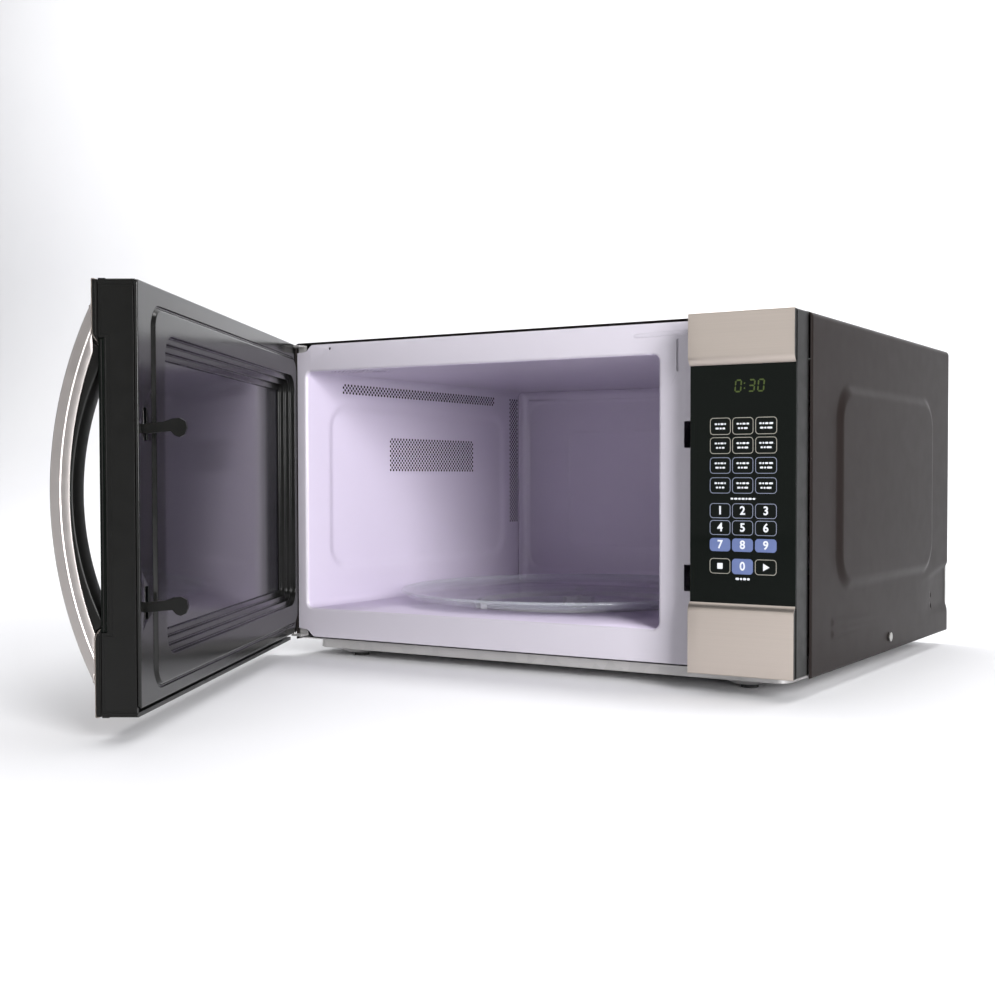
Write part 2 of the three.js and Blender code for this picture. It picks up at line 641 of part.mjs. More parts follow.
// The y of a plane that lies depth millimetres outside the door's inner face.
const doorY = (depth) => -DOOR.faceGap - depth;
const DOOR_GLASS_BACK_Y = DOOR_GLASS_FRONT_Y + DOOR_GLASS_THICKNESS;

function doorPlate(shape, outerDepth, innerDepth, steps) {
  return prismY(shape, doorY(outerDepth), doorY(innerDepth), steps);
}

// Clearance around the fixed hinge plates at both ends of the pivot.
function hingeClearances() {
  const { x, y, swingRadius } = HINGE;
  const inner = HINGE_PLATE.thickness + 0.7;
  const upper = rodZ(x, y, HINGE_PLATE_Z.top - inner, DOOR.top + CLEAR, swingRadius, 32);
  const lower = rodZ(x, y, DOOR.bottom - CLEAR, HINGE_PLATE_Z.bottom + inner, swingRadius, 32);
  return [upper, lower];
}

function pinHoles() {
  const z = [
    [287, DOOR.top + CLEAR],
    [DOOR.bottom - CLEAR, 14],
  ];
  return z.map((ends) => rodZ(HINGE.x, HINGE.y, ...ends, HINGE.holeRadius));
}

function handleScrewHoles(radius) {
  const x = (HANDLE.left + HANDLE.right) / 2;
  return HANDLE_SCREW.z.map((z) => rodY(x, z, DOOR_FRONT_Y - 4.4, DOOR_GLASS_BACK_Y + CLEAR, radius, 12));
}

function doorFrame() {
  const { left, right, bottom, top, wall } = DOOR;
  const outline = { left, right, bottom, top, radius: 2.5 };
  const backDepth = 2.8;
  const frontDepth = doorY(0) - DOOR_GLASS_BACK_Y - GAP;
  const plateDepth = frontDepth - 2;
  const walls = doorPlate(inset(outline, 0), frontDepth, backDepth);
  const hollow = doorPlate(inset({ ...outline, radius: 0 }, wall), plateDepth, backDepth - 5);
  const opening = doorPlate(inset(WINDOW, WINDOW_INSET + 3), 60, 0);
  const ledgeY = [DOOR_GLASS_FRONT_Y + GAP, DOOR_GLASS_BACK_Y + 1];
  const ledges = [
    box(left, right, ...ledgeY, UPPER_TRIM_BOTTOM_Z + 2.5, top),
    box(left, right, ...ledgeY, bottom, LOWER_TRIM_TOP_Z - 2.5),
  ];
  const hingePosts = [
    [top - 20, top],
    [bottom, bottom + 20.8],
  ].map((z) => box(left, left + 9, doorY(12), doorY(backDepth), ...z));
  return cut(
    join(cut(join(walls, ...ledges), hollow, opening), ...hingePosts),
    ...pinHoles(),
    ...hingeClearances(),
    ...handleScrewHoles(HANDLE_SCREW.shaftRadius + 0.5),
  );
}

// The dark inner face of the door: a flange, a raised panel, and a stepped well down to the window.
function innerCover() {
  const { left, right, top } = DOOR;
  const flange = doorPlate(rectangle(left, 7.5, right, top - 0.5, 2.5), 2.5, 0);
  const raised = prismY(inset(RAISED_PANEL, 0), doorY(1), doorY(-RAISED_PANEL.height), ROUND_STEPS);
  const { depths, width, wall } = WINDOW_STEPS;
  const tubs = depths.map((depth, i) => doorPlate(inset(WINDOW, i * width - wall), depth + wall, 0));
  const wells = depths.map((depth, i) => doorPlate(inset(WINDOW, i * width), depth, -CLEAR));
  const opening = doorPlate(inset(WINDOW, WINDOW_INSET), 20, -CLEAR);
  const slots = HOOK.rootsZ.map((root) => doorPlate(hookSlot(root), CLEAR, -CLEAR));
  const pinNotches = [
    [288, top + CLEAR],
    [-CLEAR, 13],
  ].map((z) => box(left - 5, left + 5.4, -CLEAR, 0, ...z));
  const holes = [opening, ...slots, ...pinNotches, ...hingeClearances()];
  return cut(join(flange, raised, ...tubs), ...wells, ...holes);
}

function windowFilm() {
  return doorPlate(inset(WINDOW, WINDOW_INSET - 2), 14.2, 12.8);
}

function windowMesh() {
  return doorPlate(inset(WINDOW, WINDOW_INSET - 2), 15.2, 14.5);
}

// Pressed steel frame of the door: it holds the mesh and its folded rim is the microwave choke.
function chokeFrame() {
  const rim = { left: 8, right: 428, bottom: 12, top: 290, radius: 0 };
  const plate = doorPlate(inset(rim, 0), 16.7, 15.5);
  const walls = doorPlate(inset(rim, 0), 16, 4.9);
  const hollow = doorPlate(inset(rim, SHEET), 15.5, -5);
  return cut(join(plate, cut(walls, hollow)), doorPlate(inset(WINDOW, WINDOW_INSET + 3), 60, -5));
}

function doorGlass() {
  return box(DOOR.left + 0.4, DOOR.right - 0.4, DOOR_GLASS_FRONT_Y, DOOR_GLASS_BACK_Y, ...GLASS_Z);
}

function doorTrim(edgeZ, outerZ) {
  const band = trimBand(DOOR.left, DOOR.right, edgeZ, outerZ, DOOR_FRONT_Y);
  return cut(band, ...handleScrewHoles(HANDLE_SCREW.shaftRadius + 0.5));
}

// ---- handle -------------------------------------------------------------------------------

// A side view of the bow: the part of a disc, centred behind the door, that stands in front of y.
function bowSlice(radius, y, x0, x1) {
  const centreY = DOOR_FRONT_Y - HANDLE.reach + HANDLE.radius;
  const half = Math.acos((centreY - y) / radius);
  const shape = new THREE.Shape();
  shape.absarc(centreY, HANDLE.middleZ, radius, Math.PI - half, Math.PI + half);
  return prismX(shape, x0, x1, 16);
}

function handleShell() {
  const { left, right, radius } = HANDLE;
  const { depth, wall } = HANDLE_SHELL;
  const seat = DOOR_FRONT_Y - GAP;
  const inside = bowSlice(radius - depth, seat + 5, left - 5, right + 5);
  const bow = cut(bowSlice(radius, seat, left, right), inside);
  return cut(bow, bowSlice(radius - wall, seat + 5, left + wall, right - wall));
}

// The dark inside of the handle: it fills the shell, and its two feet stand on the glass.
function handleGrip() {
  const { left, right, radius, middleZ } = HANDLE;
  const side = HANDLE_SHELL.wall + GAP;
  const seat = DOOR_GLASS_FRONT_Y - GAP;
  const body = bowSlice(radius - side, seat, left + side, right - side);
  const gapCentreY = DOOR_FRONT_Y - FINGER_GAP.height + FINGER_GAP.radius;
  const gap = rodX(gapCentreY, middleZ, left - 5, right + 5, FINGER_GAP.radius, 96);
  const bands = [
    trimBand(left - 5, right + 5, UPPER_TRIM_BOTTOM_Z - 2 * GAP, 400, DOOR_FRONT_Y),
    trimBand(left - 5, right + 5, LOWER_TRIM_TOP_Z + 2 * GAP, -100, DOOR_FRONT_Y),
  ].flatMap((band) => [band, band.clone().translate(0, -GAP, 0)]);
  return cut(body, gap, ...bands, ...handleScrewHoles(HANDLE_SCREW.shaftRadius + 0.1));
}

function handleScrew(z) {
  const x = (HANDLE.left + HANDLE.right) / 2;
  const { shaftRadius, headRadius, headHeight } = HANDLE_SCREW;
  const headY = DOOR_GLASS_BACK_Y + GAP + 2 + GAP;
  const shaft = rodY(x, z, DOOR_FRONT_Y - 3.6, headY + 1, shaftRadius, 12);
  return join(shaft, rodY(x, z, headY, headY + headHeight, headRadius, 16));
}

// ---- latch --------------------------------------------------------------------------------

function hookOutline(root) {
  const tip = [
    [0, 0],
    [12, 1.2],
    [18, 1.6],
    [20.4, -1.2],
    [23.8, -2.4],
    [27.4, -0.6],
    [29, 4],
    [28, 8.6],
    [24, 10.8],
    [19, 10.4],
    [13, 8.2],
    [0, 6.9],
  ];
  const arm = tip.map(([reach, rise]) => [doorY(0) + reach, root + rise]);
  const rootHeight = tip.at(-1)[1];
  return polygon([[doorY(7), root], ...arm, [doorY(7), root + rootHeight]]);
}

function latchBar() {
  const x = [HOOK.x - HOOK.thickness / 2, HOOK.x + HOOK.thickness / 2];
  const hooks = HOOK.rootsZ.map((root) => prismX(hookOutline(root), ...x));
  const bar = box(HOOK.x - 3.5, HOOK.x + 3.5, doorY(10.5), doorY(6), 60, LATCH_BAR_TOP_Z);
  return join(bar, ...hooks);
}

function latchSpring() {
  const [bottom, top] = [LATCH_BAR_TOP_Z + 0.5, 240];
  const [inner, outer] = [2.6, 3.6];
  const profile = [[inner, bottom], [outer, bottom], [outer, top], [inner, top], [inner, bottom]];
  return turned(HOOK.x, doorY(8.2), profile, 16);
}

// ---- the microwave ------------------------------------------------------------------------

add(cabinet, "outer_cover", outerCover(), LOOK.cover);
add(cabinet, "cover_screw_left", coverScrew(-1), LOOK.iron);
add(cabinet, "cover_screw_right", coverScrew(1), LOOK.iron);
add(cabinet, "base_plate", basePlate(), LOOK.galvanised);
for (const [name, x, y] of FOOT_CENTRES) {
  add(cabinet, name, foot(x, y), LOOK.rubber);
}
add(cabinet, "rear_panel", rearPanel(), LOOK.galvanised);
add(cabinet, "cord_gland", cordGland(), LOOK.blackPlastic);
add(cabinet, "cavity_shell", cavityShell(), LOOK.enamel);
add(cabinet, "cavity_floor", cavityFloor(), LOOK.enamel);
add(cabinet, "cavity_back", cavityBack(), LOOK.enamel);
add(cabinet, "front_face", frontFace(), LOOK.enamel);
add(cabinet, "upper_hinge_bracket", hingeBracket(1), LOOK.galvanised);
add(cabinet, "lower_hinge_bracket", hingeBracket(-1), LOOK.galvanised);

add(cabinet, "panel_housing", panelHousing(), LOOK.blackPlastic);
const panelTrim = (edgeZ, outerZ) => trimBand(PANEL.left, PANEL.right, edgeZ, outerZ);
add(cabinet, "panel_trim_upper", panelTrim(UPPER_TRIM_BOTTOM_Z, PANEL.top), LOOK.stainless);
add(cabinet, "panel_trim_lower", panelTrim(LOWER_TRIM_TOP_Z, PANEL.bottom), LOOK.stainless);
add(cabinet, "panel_glass", panelGlass(), LOOK.blackGlass);
add(cabinet, "keypad_membrane", keypadMembrane(), LOOK.greyPlastic);
add(cabinet, "display_module", displayModule(), LOOK.display);
add(cabinet, "control_board", controlBoard(), LOOK.board);

add(cabinet, "magnetron", magnetron(), LOOK.aluminium);
add(cabinet, "waveguide", waveguide(), LOOK.galvanised);
add(cabinet, "waveguide_cover", waveguideCover(), LOOK.mica);
add(cabinet, "power_transformer", powerTransformer(), LOOK.iron);
add(cabinet, "capacitor", capacitor(), LOOK.aluminium);
add(cabinet, "rectifier_diode", rectifierDiode(), LOOK.greyPlastic);
add(cabinet, "fan_shroud", fanShroud(), LOOK.greyPlastic);
add(cabinet, "fan_motor", fanMotor(), LOOK.iron);
add(cabinet, "fan_blade", fanBlade(), LOOK.greyPlastic);
add(cabinet, "noise_filter", noiseFilter(), LOOK.board);
add(cabinet, "cavity_lamp", cavityLamp(), LOOK.clearGlass);
add(cabinet, "thermal_cutout", thermalCutout(), LOOK.aluminium);
add(cabinet, "turntable_motor", turntableMotor(), LOOK.iron);
add(cabinet, "interlock_bracket", interlockBracket(), LOOK.greyPlastic);
add(cabinet, "primary_switch", interlockSwitch(196), LOOK.blackPlastic);
add(cabinet, "secondary_switch", interlockSwitch(132), LOOK.blackPlastic);
add(cabinet, "monitor_switch", interlockSwitch(70), LOOK.blackPlastic);

add(cabinet, "drive_coupler", driveCoupler(), LOOK.greyPlastic);
add(cabinet, "roller_ring", rollerRing(), LOOK.greyPlastic);
for (let index = 0; index < ROLLER.count; index += 1) {
  add(cabinet, `roller_${index + 1}`, roller(index), LOOK.greyPlastic);
}
add(cabinet, "glass_plate", glassPlate(), LOOK.clearGlass);

add(door, "door_frame", doorFrame(), LOOK.blackPlastic);
add(door, "door_inner_cover", innerCover(), LOOK.innerDoor);
add(door, "window_film", windowFilm(), LOOK.tintedFilm);
add(door, "window_mesh", windowMesh(), LOOK.darkMesh);
add(door, "choke_frame", chokeFrame(), LOOK.galvanised);
add(door, "door_glass", doorGlass(), LOOK.blackGlass);
add(door, "door_trim_upper", doorTrim(UPPER_TRIM_BOTTOM_Z, DOOR.top), LOOK.stainless);
add(door, "door_trim_lower", doorTrim(LOWER_TRIM_TOP_Z, DOOR.bottom), LOOK.stainless);
add(door, "handle_shell", handleShell(), LOOK.silver);
add(door, "handle_grip", handleGrip(), LOOK.blackPlastic);
add(door, "handle_screw_lower", handleScrew(HANDLE_SCREW.z[0]), LOOK.iron);
add(door, "handle_screw_upper", handleScrew(HANDLE_SCREW.z[1]), LOOK.iron);
add(door, "latch_bar", latchBar(), LOOK.blackPlastic);
add(door, "latch_spring", latchSpring(), LOOK.iron);

// The door turns about the hinge pins, and the whole stands on its feet, centred over the origin.
door.position.set(-HINGE.x, -HINGE.y, 0);
doorPivot.add(door);
doorPivot.position.set(HINGE.x, HINGE.y, 0);
doorPivot.rotation.z = -DOOR_OPEN_ANGLE;
microwave.add(cabinet, doorPivot);

const extent = new THREE.Box3().setFromObject(microwave, true);
const centre = extent.getCenter(new THREE.Vector3());
microwave.position.set(-centre.x, -centre.y, -extent.min.z);

export default microwave;
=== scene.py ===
"""A countertop microwave oven with its door open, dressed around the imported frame.

Pieces are drawn in millimetres in the cabinet's own axes: x from the face's left edge, y back from
the face, z up from the cover's lower edge. The door is drawn closed and swung to its rest angle.
"""
import json
import math

import bmesh
import bpy
from mathutils import Matrix, Vector


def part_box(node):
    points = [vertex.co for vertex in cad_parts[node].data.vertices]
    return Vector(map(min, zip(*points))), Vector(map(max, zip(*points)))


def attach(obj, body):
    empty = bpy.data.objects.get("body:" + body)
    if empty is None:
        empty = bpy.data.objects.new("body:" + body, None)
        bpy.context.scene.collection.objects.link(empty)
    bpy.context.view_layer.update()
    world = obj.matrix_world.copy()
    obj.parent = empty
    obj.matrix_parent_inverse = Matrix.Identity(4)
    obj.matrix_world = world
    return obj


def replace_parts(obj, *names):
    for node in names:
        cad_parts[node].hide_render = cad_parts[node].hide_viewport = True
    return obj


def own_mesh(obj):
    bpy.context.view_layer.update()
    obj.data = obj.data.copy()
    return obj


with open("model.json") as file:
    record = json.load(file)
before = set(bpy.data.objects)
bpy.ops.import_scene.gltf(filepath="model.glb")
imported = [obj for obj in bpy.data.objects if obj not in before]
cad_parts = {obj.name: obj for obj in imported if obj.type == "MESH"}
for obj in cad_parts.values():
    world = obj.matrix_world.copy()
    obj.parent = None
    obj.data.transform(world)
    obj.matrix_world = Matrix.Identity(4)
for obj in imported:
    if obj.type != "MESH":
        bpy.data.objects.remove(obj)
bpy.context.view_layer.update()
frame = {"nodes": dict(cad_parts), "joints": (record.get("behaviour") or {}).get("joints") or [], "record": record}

NODES = frame["nodes"]
JOINTS = {joint["name"]: joint for joint in frame["joints"]}

MM = 0.001
UP, RIGHTWARD = Vector((0, 0, 1)), Vector((1, 0, 0))
FRONTWARD, BACKWARD = Vector((0, -1, 0)), Vector((0, 1, 0))
FACE_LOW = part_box("front_face")[0]
FACE_BOTTOM_Z = 3.8
COVER_BOTTOM = FACE_LOW.z - FACE_BOTTOM_Z * MM
CABINET = Matrix.Translation((FACE_LOW.x, FACE_LOW.y, COVER_BOTTOM)) @ Matrix.Scale(MM, 4)


def rotation_about(pivot, angle):
    return Matrix.Translation(pivot) @ Matrix.Rotation(angle, 4, "Z") @ Matrix.Translation(-pivot)


HINGE = JOINTS["door_hinge"]
OPEN_ANGLE = math.radians(HINGE["range_deg"][0])
DOOR = rotation_about(Vector(HINGE["pos_m"]), OPEN_ANGLE) @ CABINET
PLACES = {"cabinet": CABINET, "door": DOOR, "plate": CABINET}


def cabinet_box(node):
    """A cabinet node's lowest and highest corners, in cabinet millimetres."""
    return [CABINET.inverted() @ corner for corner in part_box(node)]


# ---- materials ----


def linear(red, green, blue):
    """An 8-bit display colour as the linear colour that shaders take."""

    def channel(value):
        value /= 255
        return value / 12.92 if value <= 0.04045 else ((value + 0.055) / 1.055) ** 2.4

    return (channel(red), channel(green), channel(blue), 1.0)


class Material:
    """A Principled material with helpers that hang procedural textures on it."""

    def __init__(self, name, colour, roughness, metallic=0.0, **sockets):
        self.name = name
        self.data = bpy.data.materials.new(name)
        self.data.use_nodes = True
        self.tree = self.data.node_tree
        self.shader = self.tree.nodes["Principled BSDF"]
        self.colour = linear(*colour)
        sockets.update(Base_Color=self.colour, Roughness=roughness, Metallic=metallic)
        for socket, value in sockets.items():
            self.shader.inputs[socket.replace("_", " ")].default_value = value
        self.roughness = roughness
        self.coordinates = self.node("ShaderNodeTexCoord").outputs["Object"]
        self.normal = None

    def node(self, kind, inputs=None, **settings):
        """A new shader node, with values for its input sockets."""
        made = self.tree.nodes.new(kind)
        for key, value in settings.items():
            setattr(made, key, value)
        for socket, value in (inputs or {}).items():
            made.inputs[socket].default_value = value
        return made

    def link(self, source, target):
        self.tree.links.new(source, target)

    def noise(self, scale, stretch=(1, 1, 1), detail=3.0):
        mapping = self.node("ShaderNodeMapping", {"Scale": stretch})
        self.link(self.coordinates, mapping.inputs["Vector"])
        texture = self.node("ShaderNodeTexNoise", {"Scale": scale, "Detail": detail})
        self.link(mapping.outputs["Vector"], texture.inputs["Vector"])
        return texture.outputs["Fac"]

    def ranged(self, value, low, high):
        """Spreads a texture's middle range over low to high."""
        limits = {"From Min": 0.3, "From Max": 0.7, "To Min": low, "To Max": high}
        span = self.node("ShaderNodeMapRange", limits)
        self.link(value, span.inputs["Value"])
        return span.outputs["Result"]

    def vary_colour(self, value, other, amount=1.0):
        """Mixes towards another colour where the texture is high."""
        mix = self.node("ShaderNodeMix", data_type="RGBA")
        mix.inputs["A"].default_value = self.colour
        mix.inputs["B"].default_value = linear(*other)
        self.link(self.ranged(value, 0.0, amount), mix.inputs["Factor"])
        self.link(mix.outputs["Result"], self.shader.inputs["Base Color"])
        return self

    def vary_roughness(self, value, spread):
        rough = self.ranged(value, self.roughness - spread, self.roughness + spread)
        self.link(rough, self.shader.inputs["Roughness"])
        return self

    def bump(self, value, height):
        """Raises the surface by up to height metres where the texture is high."""
        bump = self.node("ShaderNodeBump", {"Distance": height, "Strength": 1.0})
        self.link(value, bump.inputs["Height"])
        if self.normal is not None:
            self.link(self.normal, bump.inputs["Normal"])
        self.normal = bump.outputs["Normal"]
        self.link(self.normal, self.shader.inputs["Normal"])
        return self


def mottled(
    name, colour, other, roughness, metallic=0.0,
    patches=35, share=0.6, gloss=120, spread=0.05, grain=900, height=0.00002, **sockets,
):
    """Any plain painted, moulded, cast or plated surface.

    Its colour is cloudy at scale patches, its gloss uneven at scale gloss, and its grain is fine.
    """
    made = Material(name, colour, roughness, metallic, **sockets)
    made.vary_colour(made.noise(patches), other, share)
    made.vary_roughness(made.noise(gloss), spread)
    return made.bump(made.noise(grain, detail=2), height)


def enamel(name, colour, other):
    evenness = {"patches": 5, "share": 0.5, "gloss": 40, "spread": 0.02, "height": 0.000006}
    return mottled(name, colour, other, 0.34, **evenness, Coat_Weight=0.3, Coat_Roughness=0.15)


def stainless():
    made = Material("stainless", (200, 189, 180), 0.34, 1.0)
    streaks = made.noise(1.0, (6, 6, 2600), 6.0)
    made.vary_colour(streaks, (190, 180, 171), 0.4)
    made.vary_roughness(streaks, 0.02)
    return made.bump(streaks, 0.000005)


def black_glass():
    made = Material("black_glass", (14, 17, 15), 0.06, Specular_IOR_Level=0.05)
    made.vary_colour(made.noise(3), (18, 21, 19), 0.5)
    return made.vary_roughness(made.noise(12), 0.015)


def perforated(name, colour, hole_colour, pitch, roughness, **sockets):
    """A sheet with a fine regular pattern of round holes, pitch metres apart."""
    made = Material(name, colour, roughness, **sockets)
    cells = made.node("ShaderNodeTexVoronoi", {"Scale": 1 / pitch, "Randomness": 0.0})
    made.link(made.coordinates, cells.inputs["Vector"])
    made.vary_colour(cells.outputs["Distance"], hole_colour, 0.6)
    return made


def tinted_film():
    made = perforated("tinted_film", (46, 44, 50), (28, 27, 32), 0.0021, 0.13)
    return made.bump(made.noise(14, detail=1), 0.00004)


def dark_mesh():
    made = perforated("dark_mesh", (40, 40, 42), (12, 12, 13), 0.0021, 0.5)
    return made.bump(made.noise(900), 0.00002)


def galvanised_steel():
    made = Material("galvanised_steel", (196, 194, 193), 0.42, 0.6)
    spangle = made.node("ShaderNodeTexVoronoi", {"Scale": 90})
    made.link(made.coordinates, spangle.inputs["Vector"])
    made.vary_colour(spangle.outputs["Color"], (176, 175, 175), 0.35)
    made.vary_roughness(made.noise(80), 0.06)
    return made.bump(made.noise(500), 0.00002)


def circuit_board():
    made = Material("circuit_board", (46, 84, 50), 0.35)
    colours = {"Color1": made.colour, "Color2": linear(58, 100, 60), "Mortar": linear(150, 130, 90)}
    tracks = made.node("ShaderNodeTexBrick", {"Scale": 260, "Mortar Size": 0.012, **colours})
    made.link(made.coordinates, tracks.inputs["Vector"])
    made.link(tracks.outputs["Color"], made.shader.inputs["Base Color"])
    return made.bump(made.noise(600), 0.00004)


def clear_glass():
    made = Material("clear_glass", (214, 220, 224), 0.05, Alpha=0.3, Coat_Weight=1.0)
    made.vary_colour(made.noise(6), (206, 213, 218), 0.5)
    return made.bump(made.noise(25, detail=1), 0.00002)


def lit_segments():
    made = Material("lit_segments", (54, 66, 16), 0.4, Emission_Strength=0.04)
    made.shader.inputs["Emission Color"].default_value = linear(130, 165, 20)
    return made.vary_colour(made.noise(300), (46, 56, 14), 0.6)


SLOTTED = [
    mottled(
        "painted_cover", (34, 29, 28), (31, 27, 26), 0.32, patches=9, share=0.5, gloss=60,
        spread=0.02, grain=1500, height=0.000012, Specular_IOR_Level=0.04,
    ),
    # The cavity's copy of the enamel, lighter and more violet than the face's: its violet tint is painted shade
    # for light bounced round inside the cavity.
    enamel("enamel", (212, 203, 222), (209, 200, 220)),
    stainless(),
    mottled(
        "silver_plating", (184, 178, 175), (182, 177, 175), 0.38, 1.0, patches=30, share=0.5,
        gloss=110, spread=0.03, grain=1200, height=0.000008,
    ),
    mottled(
        "black_plastic", (18, 18, 17), (15, 15, 14), 0.34, patches=25, gloss=90, grain=2600,
        height=0.000012, Specular_IOR_Level=0.2,
    ),
    mottled(
        "inner_door_plastic", (19, 19, 18), (16, 16, 15), 0.17, patches=14, share=0.5, gloss=70,
        spread=0.02, grain=1500, height=0.000006, Specular_IOR_Level=0.32,
    ),
    black_glass(),
    tinted_film(),
    dark_mesh(),
    galvanised_steel(),
    circuit_board(),
    clear_glass(),
    mottled("rubber", (30, 30, 30), (38, 37, 36), 0.75, grain=1500, height=0.00006),
    mottled("zinc_screw", (175, 174, 170), (150, 150, 148), 0.3, 1.0),
    mottled("grey_plastic", (196, 196, 198), (182, 182, 186), 0.45),
    mottled("aluminium", (196, 198, 200), (178, 180, 184), 0.35, 1.0),
    mottled("mica", (196, 184, 158), (176, 162, 134), 0.5, height=0.00008),
    mottled("transformer_iron", (92, 94, 98), (120, 84, 60), 0.5, 0.6),
    mottled("display", (26, 28, 22), (34, 36, 26), 0.2),
]
SLOT_MATERIALS = {made.name: made for made in SLOTTED}
INK_GRAIN = 0.000004
WHITE_INK = mottled("white_ink", (214, 216, 222), (202, 205, 212), 0.5, height=INK_GRAIN)
LINE_INK = mottled("line_ink", (124, 130, 150), (108, 114, 134), 0.45, height=INK_GRAIN)
BEIGE_INK = mottled("beige_ink", (150, 147, 138), (134, 131, 122), 0.45, height=INK_GRAIN)
BLUE_INK = mottled("blue_ink", (92, 106, 150), (86, 100, 143), 0.42, height=INK_GRAIN)
LIT = lit_segments()


# ---- mesh building ----


def add_object(name, data):
    made = bpy.data.objects.new(name, data)
    bpy.context.scene.collection.objects.link(made)
    return made


def finish_mesh(name, mesh, body, slot_name, place=None, material=None, sharp=40):
    """Makes a mesh a piece of a body, with its slot's material and smooth shading.

    The mesh is in its body's millimetres, unless place says where it goes.
    """
    mesh.transform(place or PLACES[body])
    mesh.update()
    mesh.materials.append((material or SLOT_MATERIALS[slot_name]).data)
    for face in mesh.polygons:
        face.use_smooth = True
    mesh.set_sharp_from_angle(angle=math.radians(sharp))
    made = add_object(name, mesh)
    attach(made, body)
    return made


def from_bmesh(name, bm, *finish_args, towards=None, **finish_options):
    """A piece from bm; towards is the way an open sheet's outer side looks on the whole."""
    bmesh.ops.recalc_face_normals(bm, faces=bm.faces)
    if towards and sum(face.normal.dot(towards) * face.calc_area() for face in bm.faces) < 0:
        bmesh.ops.reverse_faces(bm, faces=bm.faces)
    mesh = bpy.data.meshes.new(name)
    bm.to_mesh(mesh)
    bm.free()
    return finish_mesh(name, mesh, *finish_args, **finish_options)


def bevel(piece, width, segments=2, angle=35):
    modifier = piece.modifiers.new("rounded_edges", "BEVEL")
    modifier.width = width * MM
    modifier.segments = segments
    modifier.limit_method = "ANGLE"
    modifier.angle_limit = math.radians(angle)
    modifier.harden_normals = True
    return piece


def solidify(piece, thickness, offset=-1.0):
    modifier = piece.modifiers.new("sheet_thickness", "SOLIDIFY")
    modifier.thickness = thickness * MM
    modifier.offset = offset
    return piece


def flat_shading(piece):
    """Keeps wide flat areas flat where they meet small rounds."""
    modifier = piece.modifiers.new("flat_areas", "WEIGHTED_NORMAL")
    modifier.keep_sharp = True
    modifier.weight = 100
    return piece


def rounded_loop(x0, z0, x1, z1, radius, corner_steps=8, side_steps=6):
    """Points round a rounded rectangle, from the lower end of its upper right corner."""
    left, right, low, high = x0 + radius, x1 - radius, z0 + radius, z1 - radius
    centres = [(right, high), (left, high), (left, low), (right, low)]
    points = []
    for corner, (cx, cz) in enumerate(centres):
        for step in range(corner_steps + 1):
            angle = math.pi / 2 * (corner + step / corner_steps)
            points.append((cx + radius * math.cos(angle), cz + radius * math.sin(angle)))
        (x, z), (cx, cz) = points[-1], centres[(corner + 1) % 4]
        turn = math.pi / 2 * (corner + 1)
        run, climb = cx + radius * math.cos(turn) - x, cz + radius * math.sin(turn) - z
        points += [(x + run * share, z + climb * share) for share in shares(side_steps)[:-1]]
    return points


def inset_rect(rect, by):
    x0, z0, x1, z1, radius = rect
    return (x0 + by, z0 + by, x1 - by, z1 - by, max(radius - by, 0.4))


def add_loop(bm, points, closed=True):
    verts = [bm.verts.new(point) for point in points]
    pairs = zip(verts, verts[1:] + verts[:1]) if closed else zip(verts, verts[1:])
    for a, b in pairs:
        bm.edges.new((a, b))
    return verts


def bridge(bm, first, second):
    count = len(first)
    for i in range(count):
        j = (i + 1) % count
        bm.faces.new((first[i], first[j], second[j], second[i]))


def stack_loops(bm, loops):
    """Joins loops of points, all of one length, into a skin; returns the first and last loop."""
    rings = [[bm.verts.new(point) for point in loop] for loop in loops]
    for first, second in zip(rings, rings[1:]):
        bridge(bm, first, second)
    return rings[0], rings[-1]


def stack_solid(bm, loops):
    """A skin of loops that is closed at both ends."""
    for end in stack_loops(bm, loops):
        bm.faces.new(end)


def stack_rows(bm, rows):
    """An open sheet over rows of points, all of one length."""
    rows = [[bm.verts.new(point) for point in row] for row in rows]
    for first, second in zip(rows, rows[1:]):
        for corners in zip(first, first[1:], second[1:], second):
            bm.faces.new(corners)


def fill_between(bm, rings):
    """Fills the flat area between an outer ring of vertices and the rings inside it."""
    edges = []
    for ring in rings:
        for a, b in zip(ring, ring[1:] + ring[:1]):
            edges.append(bm.edges.get((a, b)) or bm.edges.new((a, b)))
    bmesh.ops.triangle_fill(bm, use_beauty=True, use_dissolve=False, edges=edges)


def lathe(bm, profile, steps):
    """Turns (radius, z) points about the turntable's axis; a point on the axis closes the end."""
    rings = []
    for radius, z in profile:
        points = circle_loop(radius, z, steps) if radius else [(*CENTRE, z)]
        rings.append([bm.verts.new(point) for point in points])
    for first, second in zip(rings, rings[1:]):
        for i in range(steps):
            j = (i + 1) % steps
            corners = [first[i % len(first)], first[j % len(first)]]
            corners += [second[j % len(second)], second[i % len(second)]]
            corners = list(dict.fromkeys(corners))
            if len(corners) > 2:
                bm.faces.new(corners)


def smooth_step(value):
    value = min(max(value, 0.0), 1.0)
    return value * value * (3 - 2 * value)


def rounded_distance(u, v, rect):
    """Signed distance from a rounded rectangle: negative inside."""
    u0, v0, u1, v1, radius = rect
    du = abs(u - (u0 + u1) / 2) - (u1 - u0) / 2 + radius
    dv = abs(v - (v0 + v1) / 2) - (v1 - v0) / 2 + radius
    return math.hypot(max(du, 0), max(dv, 0)) + min(max(du, dv), 0) - radius


def pressing(u, v, rect, height, slope):
    """Height of a flat-topped pressing with straight sloping sides inside rect."""
    share = min(max(-rounded_distance(u, v, rect) / slope, 0.0), 1.0)
    return height * (0.6 * share + 0.4 * smooth_step(share))


def shares(steps):
    """Even steps from the first up to 1."""
    return [i / steps for i in range(1, steps + 1)]


def rolled(steps):
    """Angles that step through a quarter turn."""
    return [math.pi / 2 * i / steps for i in range(steps + 1)]


def eighths():
    return [math.tau * i / 8 for i in range(8)]


